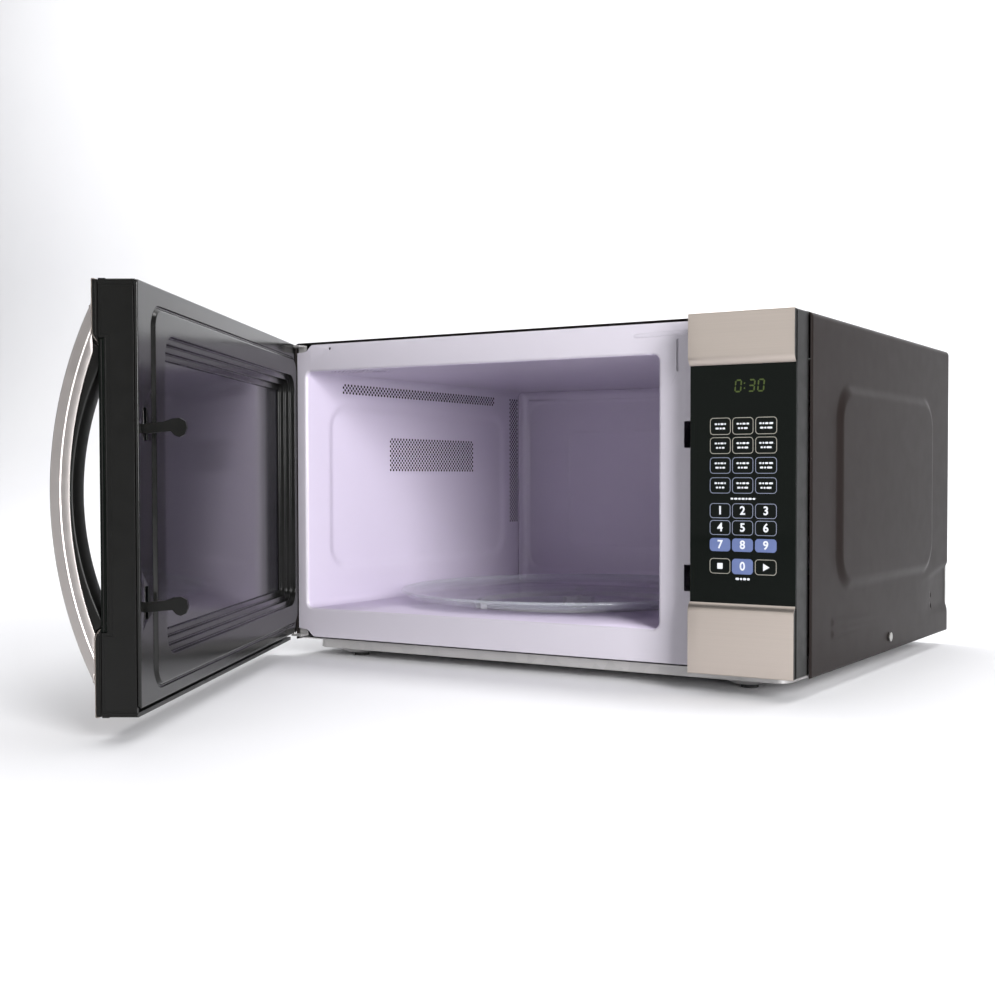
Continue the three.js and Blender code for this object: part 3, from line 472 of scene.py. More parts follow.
def spaced(start, end, step):
    """Places from start to end, about step apart."""
    count = max(1, round((end - start) / step))
    return [start + (end - start) * i / count for i in range(count + 1)]


# ---- sheet metal ----

HOLE_REACH, HOLE_CORNER_REACH = 0.49, 0.65
# a sheet's grid spacing where it is flat and where it is shaped
FLAT, FINE = 8.0, 2.2


def pierced_cell(bm, corners, hole):
    """Joins a cell's four corners to the eight points of the hole in it, hole[0] by corners[0]."""
    for side in range(4):
        along = [hole[(2 * side + 2) % 8], hole[2 * side + 1], hole[2 * side]]
        bm.faces.new([corners[side], corners[(side + 1) % 4], *along])


def sheet_grid(us, vs, place, holes=(), gaps=()):
    """A sheet over the grid lines us and vs, where place(u, v) gives a point.

    holes and gaps are boxes (u0, v0, u1, v1): every second cell inside one of the holes is
    pierced, and the cells inside a gap are left out.
    """
    bm = bmesh.new()
    grid = [[bm.verts.new(place(u, v)) for v in vs] for u in us]

    def inside(u, v, boxes):
        return any(u0 < u < u1 and v0 < v < v1 for u0, v0, u1, v1 in boxes)

    for i, (u0, u1) in enumerate(zip(us, us[1:])):
        for j, (v0, v1) in enumerate(zip(vs, vs[1:])):
            u, v = (u0 + u1) / 2, (v0 + v1) / 2
            corners = [grid[i][j], grid[i + 1][j], grid[i + 1][j + 1], grid[i][j + 1]]
            if inside(u, v, gaps):
                continue
            if (i + j) % 2 or not inside(u, v, holes):
                bm.faces.new(corners)
                continue
            points = []
            for step in range(8):
                turn = math.tau * (0.625 + step / 8)
                reach = (HOLE_REACH if step % 2 else HOLE_CORNER_REACH) * min(u1 - u0, v1 - v0)
                points.append((u + reach * math.cos(turn), v + reach * math.sin(turn)))
            pierced_cell(bm, corners, [bm.verts.new(place(*point)) for point in points])
    loose = [vert for vert in bm.verts if not vert.link_faces]
    bmesh.ops.delete(bm, geom=loose, context="VERTS")
    return bm


def grid_lines(*stops):
    """Lines between pairs of (place, spacing up to the next place), ending on a bare place."""
    lines = []
    for (start, step), following in zip(stops, stops[1:]):
        end = following[0] if isinstance(following, tuple) else following
        lines += spaced(start, end, step)[:-1]
    return lines + [stops[-1]]


def corner_lines(start, radius, direction, steps=5):
    """Lines that follow a quarter round, from its end at start, closer together near it."""
    return [start + direction * radius * (1 - math.cos(turn)) for turn in rolled(steps)[:-1]]


def corner_inset(value, start, end, radius):
    """How far a rounded section stands in from its flat side at value, between start and end."""
    beyond = max(start + radius - value, value - end + radius, 0)
    return radius - math.sqrt(max(radius**2 - beyond**2, 0))


# ---- cavity ----

SHELL_LOW, SHELL_HIGH = cabinet_box("cavity_shell")
FLOOR_LOW, FLOOR_HIGH = cabinet_box("cavity_floor")
SHEET = 1.0
LEFT, RIGHT = SHELL_LOW.x + SHEET, SHELL_HIGH.x - SHEET
BOTTOM, TOP = FLOOR_HIGH.z, SHELL_HIGH.z - SHEET
FRONT, BACK = SHELL_LOW.y, SHELL_HIGH.y
WELL_FLOOR = FLOOR_LOW.z + SHEET
CORNER, BACK_ROUND = 6.0, 10.0
PLATE_LOW, PLATE_HIGH = cabinet_box("glass_plate")
CENTRE = ((PLATE_LOW.x + PLATE_HIGH.x) / 2, (PLATE_LOW.y + PLATE_HIGH.y) / 2)
PLATE_RADIUS = (PLATE_HIGH.x - PLATE_LOW.x) / 2
WELL_RADIUS = 128.0
WALL_PANEL = (34.5, 68.0, 360.0, 241.0, 26.0)
PANEL_DEPTH, PANEL_SLOPE = 2.4, 8.0
UPPER_VENT = (55.0, 250.6, 338.0, 261.0)
MIDDLE_VENT = (137.0, 170.0, 296.0, 208.5)
REAR_VENT = (371.0, 109.5, 390.0, 261.0)
CEILING_VENT = (30.0, 8.0, 92.0, 40.0)
LAMP_VENT = (316.0, 224.0, 346.0, 249.0)
PORT_GAP = (152.0, 172.0, 228.0, 208.0)
VENT_PITCH = 2.6
WALL_SHEET = 0.2


def enamel_sheet(name, bm, towards, thickness, offset, node):
    """A sheet of the cavity, thickened to one side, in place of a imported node."""
    sheet = from_bmesh(name, bm, "cabinet", "enamel", towards=towards)
    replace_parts(solidify(sheet, thickness, offset), node)


def cavity_wall(name, x, side, holes, gaps):
    """A side wall with its rounded lower and upper corners; side is -1 at the left."""

    def place(y, z):
        outward = pressing(y, z, WALL_PANEL, PANEL_DEPTH, PANEL_SLOPE)
        inward = corner_inset(z, BOTTOM, TOP, CORNER)
        return (x + side * (outward - inward), y, z)

    ys = grid_lines((FRONT, VENT_PITCH), BACK - BACK_ROUND)
    flat = grid_lines((BOTTOM + CORNER, VENT_PITCH), TOP - CORNER)
    zs = corner_lines(BOTTOM, CORNER, 1) + flat + corner_lines(TOP, CORNER, -1)[::-1]
    bm = sheet_grid(ys, zs, place, holes, gaps)
    enamel_sheet(name, bm, RIGHTWARD, WALL_SHEET, side, "cavity_shell")


def cavity_ceiling():
    xs = grid_lines((LEFT + CORNER, VENT_PITCH), (CEILING_VENT[2] + 5, FLAT), RIGHT - CORNER)
    ys = grid_lines((FRONT, VENT_PITCH), (CEILING_VENT[3] + 5, FLAT), BACK - BACK_ROUND)
    bm = sheet_grid(xs, ys, lambda x, y: (x, y, TOP), [CEILING_VENT])
    enamel_sheet("cavity_ceiling", bm, UP, WALL_SHEET, 1, "cavity_shell")


def cavity_floor():
    """The floor pan: a flat plate, a rolled edge and the round well with the coupler's hole."""
    bm = bmesh.new()
    edge = rounded_loop(LEFT + CORNER, FRONT, RIGHT - CORNER, BACK - BACK_ROUND, 0.4)
    outer = add_loop(bm, [(x, y, BOTTOM) for x, y in edge])
    roll = (BOTTOM - WELL_FLOOR) / 2
    sweep = [(roll * (1 - math.sin(a)), roll * (1 - math.cos(a))) for a in rolled(5)]
    profile = [(WELL_RADIUS + near, BOTTOM - far) for near, far in sweep]
    profile += [(WELL_RADIUS - far, WELL_FLOOR + near) for near, far in sweep]
    hub = WELL_FLOOR + 1
    profile += [(WELL_RADIUS - 40, WELL_FLOOR), (20, WELL_FLOOR), (12, hub), (9, hub)]
    loops = [circle_loop(radius, z, 96) for radius, z in profile]
    first, _ = stack_loops(bm, loops)
    fill_between(bm, [outer, first])
    enamel_sheet("cavity_floor_pan", bm, None, 0.8, -1, "cavity_floor")


def circle_loop(radius, z, steps):
    """Points on a level circle about the turntable's axis."""
    turns = [math.tau * i / steps for i in range(steps)]
    return [(CENTRE[0] + radius * math.cos(a), CENTRE[1] + radius * math.sin(a), z) for a in turns]


BACK_PANEL = (16.0, 45.0, 406.0, 262.0, 24.0)
BACK_CREASE = (77.0, 79.0, 345.0, 223.0, 14.0)


def cavity_back():
    """The back wall: a rounded edge into the walls, then two shallow steps back to a flat field."""
    bm = bmesh.new()
    outline = (LEFT, BOTTOM, RIGHT, TOP, CORNER)
    steps = []
    for turn in rolled(6):
        y = BACK - BACK_ROUND * (1 - math.sin(turn))
        steps.append((inset_rect(outline, BACK_ROUND * (1 - math.cos(turn))), y))
    steps += slope(BACK_PANEL, BACK, 1.8, 7) + slope(BACK_CREASE, BACK + 1.8, 0.9, 4)
    loops = [[(x, y, z) for x, z in rounded_loop(*rect)] for rect, y in steps]
    _, last = stack_loops(bm, loops)
    bm.faces.new(last)
    enamel_sheet("cavity_back_panel", bm, FRONTWARD, 0.6, 1, "cavity_back")


def slope(rect, y, height, width, steps=4):
    """Loops of an S-shaped step from y back by height, going in from rect by width."""
    along = [0, *shares(steps)]
    return [(inset_rect(rect, width * share), y + height * smooth_step(share)) for share in along]


def build_cavity():
    cavity_wall("cavity_left_wall", LEFT, -1, [UPPER_VENT, MIDDLE_VENT, REAR_VENT], [])
    cavity_wall("cavity_right_wall", RIGHT, 1, [LAMP_VENT], [PORT_GAP])
    cavity_ceiling()
    cavity_floor()
    cavity_back()


# ---- outer cover ----

COVER_LOW, COVER_HIGH = cabinet_box("outer_cover")
PRESSING_HEIGHT = 3.2
COVER_LEFT, COVER_RIGHT = COVER_LOW.x + PRESSING_HEIGHT, COVER_HIGH.x - PRESSING_HEIGHT
COVER_TOP, COVER_CORNER = COVER_HIGH.z, 5.0
SIDE_PRESSING = (62.0, 67.0, 352.0, 245.0, 33.0)
SIDE_SLOTS = [(351.6, 39.4, 354.4, 43.6), (351.6, 29.4, 354.4, 33.6)]
RIBS = [(50.0, 41.0, 200.0, 35.5), (50.0, 31.0, 200.0, 29.5)]
RIB_HEIGHT, RIB_HALF_WIDTH = 0.9, 4.0


def rib_height(y, z):
    """Two shallow ribs that start sharply at the front and fade out towards the back."""
    height = 0.0
    for y0, z0, y1, z1 in RIBS:
        share = (y - y0) / (y1 - y0)
        if 0 <= share <= 1:
            across = abs(z - z0 - (z1 - z0) * share) / RIB_HALF_WIDTH
            start = smooth_step(share * 25)
            height += RIB_HEIGHT * (1 - share) * start * smooth_step(1 - across)
    return height


CREASE_START, CREASE_LENGTH = 300.0, 112.0
CREASE_Z, CREASE_CLIMB, CREASE_DEPTH = 59.0, 15.0, 2.2


def crease_drop(y, z):
    """The lower rear corner stands in under a line that rises to the back edge."""
    share = min(max((y - CREASE_START) / CREASE_LENGTH, 0), 1)
    below = CREASE_Z + CREASE_CLIMB * share - z
    fade = smooth_step(share) * smooth_step(below / 7) * smooth_step((z - 20) / 12)
    return CREASE_DEPTH * fade


def side_relief(y, z):
    flat_topped = pressing(y, z, SIDE_PRESSING, PRESSING_HEIGHT, 9)
    return flat_topped + rib_height(y, z) - crease_drop(y, z)


def build_cover():
    """The wrapper as one bent sheet: s runs up the left side, over the top and down the right."""
    straight = COVER_TOP - COVER_CORNER
    arc = COVER_CORNER * math.pi / 2
    top_width = COVER_RIGHT - COVER_LEFT - 2 * COVER_CORNER
    total = 2 * (straight + arc) + top_width

    def half(s, x, side, y):
        """A point on one side, s up from its lower edge; side is -1 at the left."""
        if s <= straight:
            return (x + side * side_relief(y, s), y, s)
        turn = (s - straight) / COVER_CORNER
        if turn <= math.pi / 2:
            inward = COVER_CORNER * (1 - math.cos(turn))
            return (x - side * inward, y, straight + COVER_CORNER * math.sin(turn))
        return (x - side * (COVER_CORNER + s - straight - arc), y, COVER_TOP)

    def place(y, s):
        if s <= total / 2:
            return half(s, COVER_LEFT, -1, y)
        return half(total - s, COVER_RIGHT, 1, y)

    ys = grid_lines((COVER_LOW.y, 6), (46, FINE), (100, FLAT), (312, FINE), COVER_HIGH.y)
    side = grid_lines((COVER_LOW.z, FINE), (108, FLAT), (200, FINE), (250, FLAT), straight)
    bend = spaced(straight, straight + arc, arc / 6)[1:]
    over = spaced(straight + arc, total / 2, 30)[1:]
    up = side + bend + over
    lines = up + [total - s for s in up[-2::-1]]
    slots = [(y0, total - z1, y1, total - z0) for y0, z0, y1, z1 in SIDE_SLOTS] + SIDE_SLOTS
    bm = sheet_grid(ys, lines, place, gaps=slots)
    cover = from_bmesh("cover_wrapper", bm, "cabinet", "painted_cover", towards=UP, sharp=60)
    solidify(cover, SHEET)
    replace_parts(cover, "outer_cover")


# ---- front face ----

LIP = 2.5
FACE_HOLES = [
    (427.9, 255.5, 430.5, 283.0, 1.2),
    (41.0, 291.6, 43.8, 294.4, 1.3),
    (435.3, 189.8, 443.7, 212.6, 1.0),
    (435.3, 67.2, 443.7, 90.0, 1.0),
    (462.4, 70.0, 537.8, 250.0, 2.0),
]
# A darker, greyer copy of the same enamel for the face: together with the cavity's copy it is painted light, each
# coloured for how light falls on it.
FACE_ENAMEL_PAINTED_LIGHT = enamel("face_enamel_painted_light", (198, 193, 203), (195, 190, 201))


def corner_notch(x, z, side, steps=6):
    """The step cut from a left corner of the face for the hinge plate; side is 1 at the top."""
    width, depth = 10, 6.6
    points = [(x, z - side * (depth + 0.9)), (x + width, z - side * depth)]
    for share in shares(steps):
        points.append((x + width + width * share, z - side * depth * (1 - smooth_step(share))))
    return points


def face_piece(name, bm, **options):
    return from_bmesh(name, bm, "cabinet", "enamel", material=FACE_ENAMEL_PAINTED_LIGHT, **options)


def build_face():
    """The enamelled face plate, rolled back into the mouth of the cavity."""
    face_low, face_high = cabinet_box("front_face")
    bm = bmesh.new()
    outline = corner_notch(face_low.x, face_low.z, -1)
    outline += [(face_high.x, face_low.z), (face_high.x, face_high.z)]
    outline += corner_notch(face_low.x, face_high.z, 1)[::-1]
    outer = add_loop(bm, [(x, 0, z) for x, z in outline])
    holes = [add_loop(bm, [(x, 0, z) for x, z in rounded_loop(*hole)]) for hole in FACE_HOLES]
    mouth = (LEFT, BOTTOM, RIGHT, TOP, CORNER)
    loops = []
    for turn in rolled(5):
        rect = inset_rect(mouth, -LIP * (1 - math.sin(turn)))
        y = LIP * (1 - math.cos(turn))
        loops.append([(x, y, z) for x, z in rounded_loop(*rect)])
    first, _ = stack_loops(bm, loops)
    fill_between(bm, [outer, first, *holes])
    face = face_piece("face_plate", bm, towards=FRONTWARD)
    flat_shading(solidify(face, 0.8))
    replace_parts(face, "front_face")
    face_piece("face_rib", ridge((386, -0.05, 287.2), (440, -0.05, 288.7), 2.0, 0.7))
    groove = bmesh.new()
    outline = rounded_loop(*inset_rect(FACE_HOLES[0], -0.8))
    stack_solid(groove, [[(x, y, z) for x, z in outline] for y in (1.9, 2.5)])
    face_piece("face_groove", groove)


def ridge(start, end, half_width, height, steps=24):
    """A pressed rib with rounded ends on a plane facing -Y."""
    bm = bmesh.new()
    start, end = Vector(start), Vector(end)
    along = (end - start).normalized()
    across = along.cross(Vector((0, 1, 0)))
    loops = []
    for i in range(steps + 1):
        share = i / steps
        swell = math.sqrt(max(1 - (2 * share - 1) ** 12, 0.0004))
        centre = start.lerp(end, share)
        turns = [math.pi * k / 8 for k in range(9)]
        arch = [(half_width * swell * math.cos(t), height * swell * math.sin(t)) for t in turns]
        loops.append([centre + across * u - Vector((0, h, 0)) for u, h in arch])
    stack_solid(bm, loops)
    return bm


# ---- control panel ----

GLASS_FRONT = cabinet_box("panel_glass")[0].y
PRINT_PROUD = 0.1
KEY_COLUMNS = [(472.5, 491.0), (492.5, 511.0), (512.8, 531.5)]
FUNCTION_ROWS = [(199.5, 213.4), (183.9, 197.4), (167.7, 181.0), (151.5, 164.6)]
DIGIT_ROWS = [(131.2, 143.4), (117.4, 129.5), (104.0, 114.8)]
LAST_ROW = (85.6, 98.2)
KEY_RADIUS = 3.0
LABEL_X = 502.0


def print_solid(bm, outline):
    """A film of ink on the glass: an outline in x and z, a little proud of the surface."""
    sides = (GLASS_FRONT - PRINT_PROUD, GLASS_FRONT + PRINT_PROUD)
    stack_solid(bm, [[(x, y, z) for x, z in outline] for y in sides])


def print_ring(bm, rect, line_width):
    loops = []
    for by, sunk in [(0, 1), (0, -1), (line_width, -1), (line_width, 1)]:
        y = GLASS_FRONT + sunk * PRINT_PROUD
        loops.append([(x, y, z) for x, z in rounded_loop(*inset_rect(rect, by))])
    first, last = stack_loops(bm, loops)
    bridge(bm, last, first)


def print_dashes(bm, x, z, lengths, height):
    """A row of short dashes, centred on x, that stands for a label."""
    gap, half = 0.7, height / 2
    start = x - (sum(lengths) + gap * (len(lengths) - 1)) / 2
    for length in lengths:
        print_solid(bm, rounded_loop(start, z - half, start + length, z + half, half * 0.9, 3, 2))
        start += length + gap


def print_piece(name, bm, ink, slot_name="grey_plastic"):
    return from_bmesh(name, bm, "cabinet", slot_name, material=ink, sharp=30)


def key_rects():
    """Every key as (x0, z0, x1, z1, radius), row by row from the top."""
    rows = FUNCTION_ROWS + DIGIT_ROWS + [LAST_ROW]
    return [(x0, z0, x1, z1, KEY_RADIUS) for z0, z1 in rows for x0, x1 in KEY_COLUMNS]


def middle(rect):
    return ((rect[0] + rect[2]) / 2, (rect[1] + rect[3]) / 2)


def build_keypad():
    keys = key_rects()
    first_digit = len(FUNCTION_ROWS) * len(KEY_COLUMNS)
    stop_key, zero_key, start_key = keys[-3:]
    digit_keys = keys[first_digit:-3] + [zero_key]
    blue_keys = digit_keys[6:]
    beige_keys = keys[:6] + [stop_key, start_key]
    outlines, beige_outlines, fills = bmesh.new(), bmesh.new(), bmesh.new()
    for rect in keys:
        if rect in blue_keys:
            print_solid(fills, rounded_loop(*rect))
        else:
            print_ring(beige_outlines if rect in beige_keys else outlines, rect, 0.5)
    print_piece("key_outlines", outlines, LINE_INK)
    print_piece("key_outlines_beige", beige_outlines, BEIGE_INK)
    print_piece("key_fills", fills, BLUE_INK)
    marks = bmesh.new()
    for index, rect in enumerate(keys[:first_digit]):
        x, z = middle(rect)
        print_dashes(marks, x, z + 1.8, [2.2, 1.6, 2.8, 1.4 + index % 3], 1.5)
        print_dashes(marks, x, z - 1.8, [3.0 - index % 2, 1.8, 2.4 + index % 3], 1.5)
    x, z = middle(stop_key)
    print_solid(marks, rounded_loop(x - 2.4, z - 2.4, x + 2.4, z + 2.4, 0.5, 3, 2))
    x, z = middle(start_key)
    print_solid(marks, [(x - 2.2, z - 3), (x + 3.4, z), (x - 2.2, z + 3)])
    print_dashes(marks, LABEL_X, 147.2, [2.4, 3.0, 2.2, 2.8, 1.8, 3.0, 2.4], 1.5)
    print_dashes(marks, LABEL_X, 81.8, [3.2, 2.0, 2.8, 2.4], 1.9)
    print_piece("key_marks", marks, WHITE_INK)
    for number, rect in enumerate(digit_keys, start=1):
        print_digit(str(number % 10), *middle(rect))


def print_digit(text, x, z):
    """One numeral, printed on the glass."""
    font = bpy.data.curves.new("digit_curve", "FONT")
    font.body = text
    font.size = 9.6
    font.align_x = font.align_y = "CENTER"
    font.extrude = PRINT_PROUD
    font.offset = 0.22
    font.resolution_u = 6
    holder = add_object("digit_curve", font)
    bpy.context.view_layer.update()
    mesh = bpy.data.meshes.new_from_object(holder)
    bpy.data.objects.remove(holder)
    proud = GLASS_FRONT - PRINT_PROUD * 1.2
    upright = Matrix.Translation((x, proud, z)) @ Matrix.Rotation(math.pi / 2, 4, "X")
    mesh.materials.clear()
    finish_mesh(f"digit_{text}", mesh, "cabinet", "grey_plastic", CABINET @ upright, WHITE_INK, 30)


SEGMENTS = {"0": "abcdef", "3": "abcdg"}
SEGMENT_LINES = {
    "a": ((0, 1), (1, 1)), "b": ((1, 1), (1, 0.5)), "c": ((1, 0.5), (1, 0)), "d": ((0, 0), (1, 0)),
    "e": ((0, 0), (0, 0.5)), "f": ((0, 0.5), (0, 1)), "g": ((0, 0.5), (1, 0.5)),
}


def segment_outline(start, end, half_width, trim):
    """A six-sided bar between two points, pointed at both ends."""
    along = (end - start).normalized()
    across = Vector((-along.y, along.x)) * half_width
    a, b = start + along * trim, end - along * trim
    near, far = a + along * half_width, b - along * half_width
    return [a, near + across, far + across, b, far - across, near - across]


NUMERAL_OFFSETS, COLON_OFFSET = (-12.4, -0.6, 7.6), -4.0


def build_display():
    """The lit time, 0:30, in leaning seven-segment numerals."""
    low, high = cabinet_box("display_module")
    bm = bmesh.new()
    width, height, lean = 4.9, 9.2, 0.1
    centre = Vector(((low.x + high.x) / 2, (low.z + high.z) / 2))
    for numeral, offset in zip("030", NUMERAL_OFFSETS):
        corner = centre + Vector((offset, -height / 2))
        for segment in SEGMENTS[numeral]:
            ends = []
            for u, v in SEGMENT_LINES[segment]:
                ends.append(corner + Vector((u * width + v * height * lean, v * height)))
            print_solid(bm, segment_outline(*ends, 0.62, 0.3))
    for rise in (-2.0, 2.0):
        dot = centre + Vector((COLON_OFFSET, rise))
        print_solid(bm, [(dot.x + 0.7 * math.cos(a), dot.y + 0.7 * math.sin(a)) for a in eighths()])
    print_piece("lit_time", bm, LIT, "display")


# ---- door ----

DOOR_FACE_GAP = 3.0
DOOR_FLANGE = (-4.0, 7.5, 452.4, 298.5, 2.5)
RAISED_PANEL = (0.0, 19.0, 422.0, 282.0, 13.0)
RAISED_DEPTH = -1.8
WINDOW = (8.0, 37.0, 402.0, 266.0, 17.0)
STEP_WIDTH, STEP_DEPTHS, WINDOW_INSET = 5.0, (2.5, 6.5, 10.5), 15.0
HOOK_SLOTS = [(435.3, 67.2, 443.7, 90.0, 0.6), (435.3, 189.8, 443.7, 212.6, 0.6)]


def rounded_path(points, radius, steps=3):
    """A path through points with each inner corner rounded off."""
    path = [Vector(points[0])]
    for before, corner, after in zip(points, points[1:], points[2:]):
        corner = Vector(corner)
        back, on = Vector(before) - corner, Vector(after) - corner
        reach = min(radius, back.length / 2.05, on.length / 2.05)
        start, end = corner + back.normalized() * reach, corner + on.normalized() * reach
        for i in range(steps + 1):
            share = i / steps
            path.append(start.lerp(corner, share).lerp(corner.lerp(end, share), share))
    return path + [Vector(points[-1])]


def door_loops(rect, profile):
    """Loops round rect from (inset, depth) points; depth is measured out from the inner face."""
    loops = []
    for by, depth in profile:
        outline = rounded_loop(*inset_rect(rect, by), corner_steps=10)
        loops.append([(x, -DOOR_FACE_GAP - depth, z) for x, z in outline])
    return loops


def build_door_cover():
    """The inner face: a flange, a raised field with a rolled edge, and steps to the window."""
    bm = bmesh.new()
    edge = rounded_path([(0, 2.5), (0, 0), (2, 0)], 1.2)
    _, flange = stack_loops(bm, door_loops(DOOR_FLANGE, edge))
    rise = [(-3.6, 0), (-2.8, 0.9), (-2.0, 0.9), (0, RAISED_DEPTH), (4, RAISED_DEPTH)]
    panel, _ = stack_loops(bm, door_loops(RAISED_PANEL, rounded_path(rise, 0.7)))
    holes = []
    for slot in HOOK_SLOTS:
        holes.append(add_loop(bm, [(x, -DOOR_FACE_GAP, z) for x, z in rounded_loop(*slot, 3, 2)]))
    fill_between(bm, [flange, panel, *holes])
    field = add_loop(bm, door_loops(RAISED_PANEL, [(4, RAISED_DEPTH)])[0])
    corners = [(-6, RAISED_DEPTH), (0, RAISED_DEPTH)]
    for i, depth in enumerate(STEP_DEPTHS):
        corners += [(i * STEP_WIDTH, depth), ((i + 1) * STEP_WIDTH, depth)]
    corners.append((WINDOW_INSET, 12.6))
    first, _ = stack_loops(bm, door_loops(WINDOW, rounded_path(corners, 0.6)))
    fill_between(bm, [field, first])
    bmesh.ops.remove_doubles(bm, verts=bm.verts, dist=0.001)
    cover = from_bmesh("door_inner_face", bm, "door", "inner_door_plastic", towards=BACKWARD)
    flat_shading(solidify(cover, 1.2))
    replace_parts(cover, "door_inner_cover")


EDGE_X = 452.4
EDGE_PROUD = 0.5
GLASS_STRIP_Z = (57.0, 261.0)


def edge_solid(name, outline):
    """A low plate on the door's free edge, from an outline in y and z."""
    bm = bmesh.new()
    stack_solid(bm, [[(x, y, z) for y, z in outline] for x in (EDGE_X - 0.4, EDGE_X + EDGE_PROUD)])
    bevel(from_bmesh(name, bm, "door", "black_plastic"), 0.22)


def build_door_edge():
    """The door's free edge: a stepped plate, a lip beside each band and the glass's edge strips."""
    z_low, z_high = 6.0, 294.2
    low, high = GLASS_STRIP_Z
    wide, narrow, back = -27.7, -21.8, -5.8
    outline = [(back, z_low), (back, z_high), (wide, z_high), (wide, high), (narrow, high)]
    outline += [(narrow, low), (wide, low), (wide, z_low)]
    edge_solid("door_edge_plate", outline)
    strips = [
        (-32.2, -31.2, high, 297.0), (-32.2, -31.2, 3.4, low),
        (-28.4, -27.5, low + 3, high - 3), (-25.6, -24.7, low + 2, high - 2),
        (-30.5, -5.0, 295.4, 296.4), (-30.5, -5.0, 3.6, 4.6),
    ]
    for number, (y0, y1, z0, z1) in enumerate(strips):
        edge_solid(f"door_edge_strip_{number}", [(y0, z0), (y1, z0), (y1, z1), (y0, z1)])


# ---- handle ----

DOOR_FRONT = -34.5
HANDLE_SEAT = DOOR_FRONT - 0.3
HANDLE_X, HANDLE_HALF = 438.5, 12.5
HANDLE_REACH, HANDLE_RADIUS, HANDLE_MIDDLE = 30.5, 300.0, 153.0
SHELL_DEPTH, SHELL_WALL, SHELL_GAP = 13.6, 2.0, 0.3
BOW_CENTRE = DOOR_FRONT - HANDLE_REACH + HANDLE_RADIUS
FINGER_RADIUS, FINGER_HEIGHT = 204.0, 15.0
GAP_CENTRE = DOOR_FRONT - FINGER_HEIGHT + FINGER_RADIUS


def shell_section():
    """Half of the shell's section, from its back edge to the crown: (x from middle, depth)."""
    step = HANDLE_HALF - 0.5
    corners = [(step, SHELL_DEPTH), (step, 8.0), (HANDLE_HALF, 7.4), (HANDLE_HALF, 0.9)]
    return rounded_path(corners + [(HANDLE_HALF - 1.4, 0), (0, -0.3)], 0.5)


def build_handle_shell():
    """The silver outer shell: one section swept along the bow and cut off at the door's front."""
    half = shell_section()
    section = half + [Vector((-point.x, point.y)) for point in half[-2::-1]]
    reach = math.acos((BOW_CENTRE - HANDLE_SEAT) / HANDLE_RADIUS)
    bm = bmesh.new()
    rows = []
    for turn in spaced(-reach, reach, 0.012):
        row = []
        for x, depth in section:
            radius = HANDLE_RADIUS - depth
            y = min(BOW_CENTRE - radius * math.cos(turn), HANDLE_SEAT)
            row.append((HANDLE_X + x, y, HANDLE_MIDDLE + radius * math.sin(turn)))
        rows.append(row)
    stack_rows(bm, rows)
    shell = from_bmesh("handle_outer", bm, "door", "silver_plating", towards=FRONTWARD, sharp=50)
    flat_shading(solidify(shell, 1.6))
    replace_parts(shell, "handle_shell")


def grip_inner_y(z):
    """How far back the grip reaches at height z: the finger gap's arc, then its feet."""
    rise = z - HANDLE_MIDDLE
    between_bands = LOWER_EDGE + 0.9 <= z <= UPPER_EDGE - 0.9
    seat = DOOR_FRONT + 4.0 if between_bands else HANDLE_SEAT
    return min(seat, GAP_CENTRE - math.sqrt(FINGER_RADIUS**2 - rise**2))


def build_handle_grip():
    """The dark inside of the handle: level slices that narrow and round off towards the fingers."""
    outer_radius = HANDLE_RADIUS - SHELL_WALL - SHELL_GAP
    half_height = math.sqrt(outer_radius**2 - (BOW_CENTRE - HANDLE_SEAT) ** 2) - 0.6
    half_width = HANDLE_HALF - SHELL_WALL - SHELL_GAP
    bm = bmesh.new()
    loops = []
    for z in spaced(HANDLE_MIDDLE - half_height, HANDLE_MIDDLE + half_height, 2.5):
        outer = BOW_CENTRE - math.sqrt(outer_radius**2 - (z - HANDLE_MIDDLE) ** 2)
        depth = grip_inner_y(z) - outer
        side = [(half_width, 0)]
        for share in shares(10):
            turn = math.pi / 2 * share
            side.append((half_width - 1.6 * (1 - math.cos(turn)) ** 3, depth * math.sin(turn)))
        outline = side + [(-x, y) for x, y in side[::-1]]
        loops.append([(HANDLE_X + x, outer + y, z) for x, y in outline])
    stack_solid(bm, loops)
    grip = from_bmesh("handle_inner", bm, "door", "black_plastic", sharp=50)
    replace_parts(grip, "handle_grip")


SPRING_WIRE, SPRING_RADIUS, SPRING_TURNS, TURN_STEPS = 0.45, 3.1, 8, 14


def build_latch_spring():
    """The latch bar's coil spring, built at one length; the real one shortens towards its fixed top as the bar
    lifts.
    """
    low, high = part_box("latch_spring")
    middle_point = (low + high) / 2
    half = (high.z - low.z) / 2 / MM - SPRING_WIRE
    bm = bmesh.new()
    loops = []
    for turn in spaced(0, math.tau * SPRING_TURNS, math.tau / TURN_STEPS):
        outward = Vector((math.cos(turn), math.sin(turn), 0))
        centre = outward * SPRING_RADIUS + UP * half * (turn / (math.pi * SPRING_TURNS) - 1)
        section = [outward * math.cos(a) + UP * math.sin(a) for a in eighths()]
        loops.append([centre + point * SPRING_WIRE for point in section])
    stack_solid(bm, loops)
    place = Matrix.Translation(middle_point) @ Matrix.Scale(MM, 4)
    coil = from_bmesh("latch_spring_coil", bm, "door", "zinc_screw", place)
    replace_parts(coil, "latch_spring")
    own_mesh(coil)


# ---- steel bands ----

TRIM_DEPTH, TRIM_BEVEL, TRIM_SHEET = 4.2, 6.0, 0.7
UPPER_EDGE, LOWER_EDGE = 256.5, 61.5


def trim_profile(front, edge, outer):
    """The band's front from its bevel at edge to its far side, as (y, z)."""
    inward = math.copysign(1, outer - edge)
    path = [(front + 3.4, edge), (front + 1, edge + inward * (TRIM_BEVEL - 2.6))]
    path += [(front, edge + inward * TRIM_BEVEL), (front, outer), (front + 2.2, outer)]
    return rounded_path(path, 1.4)


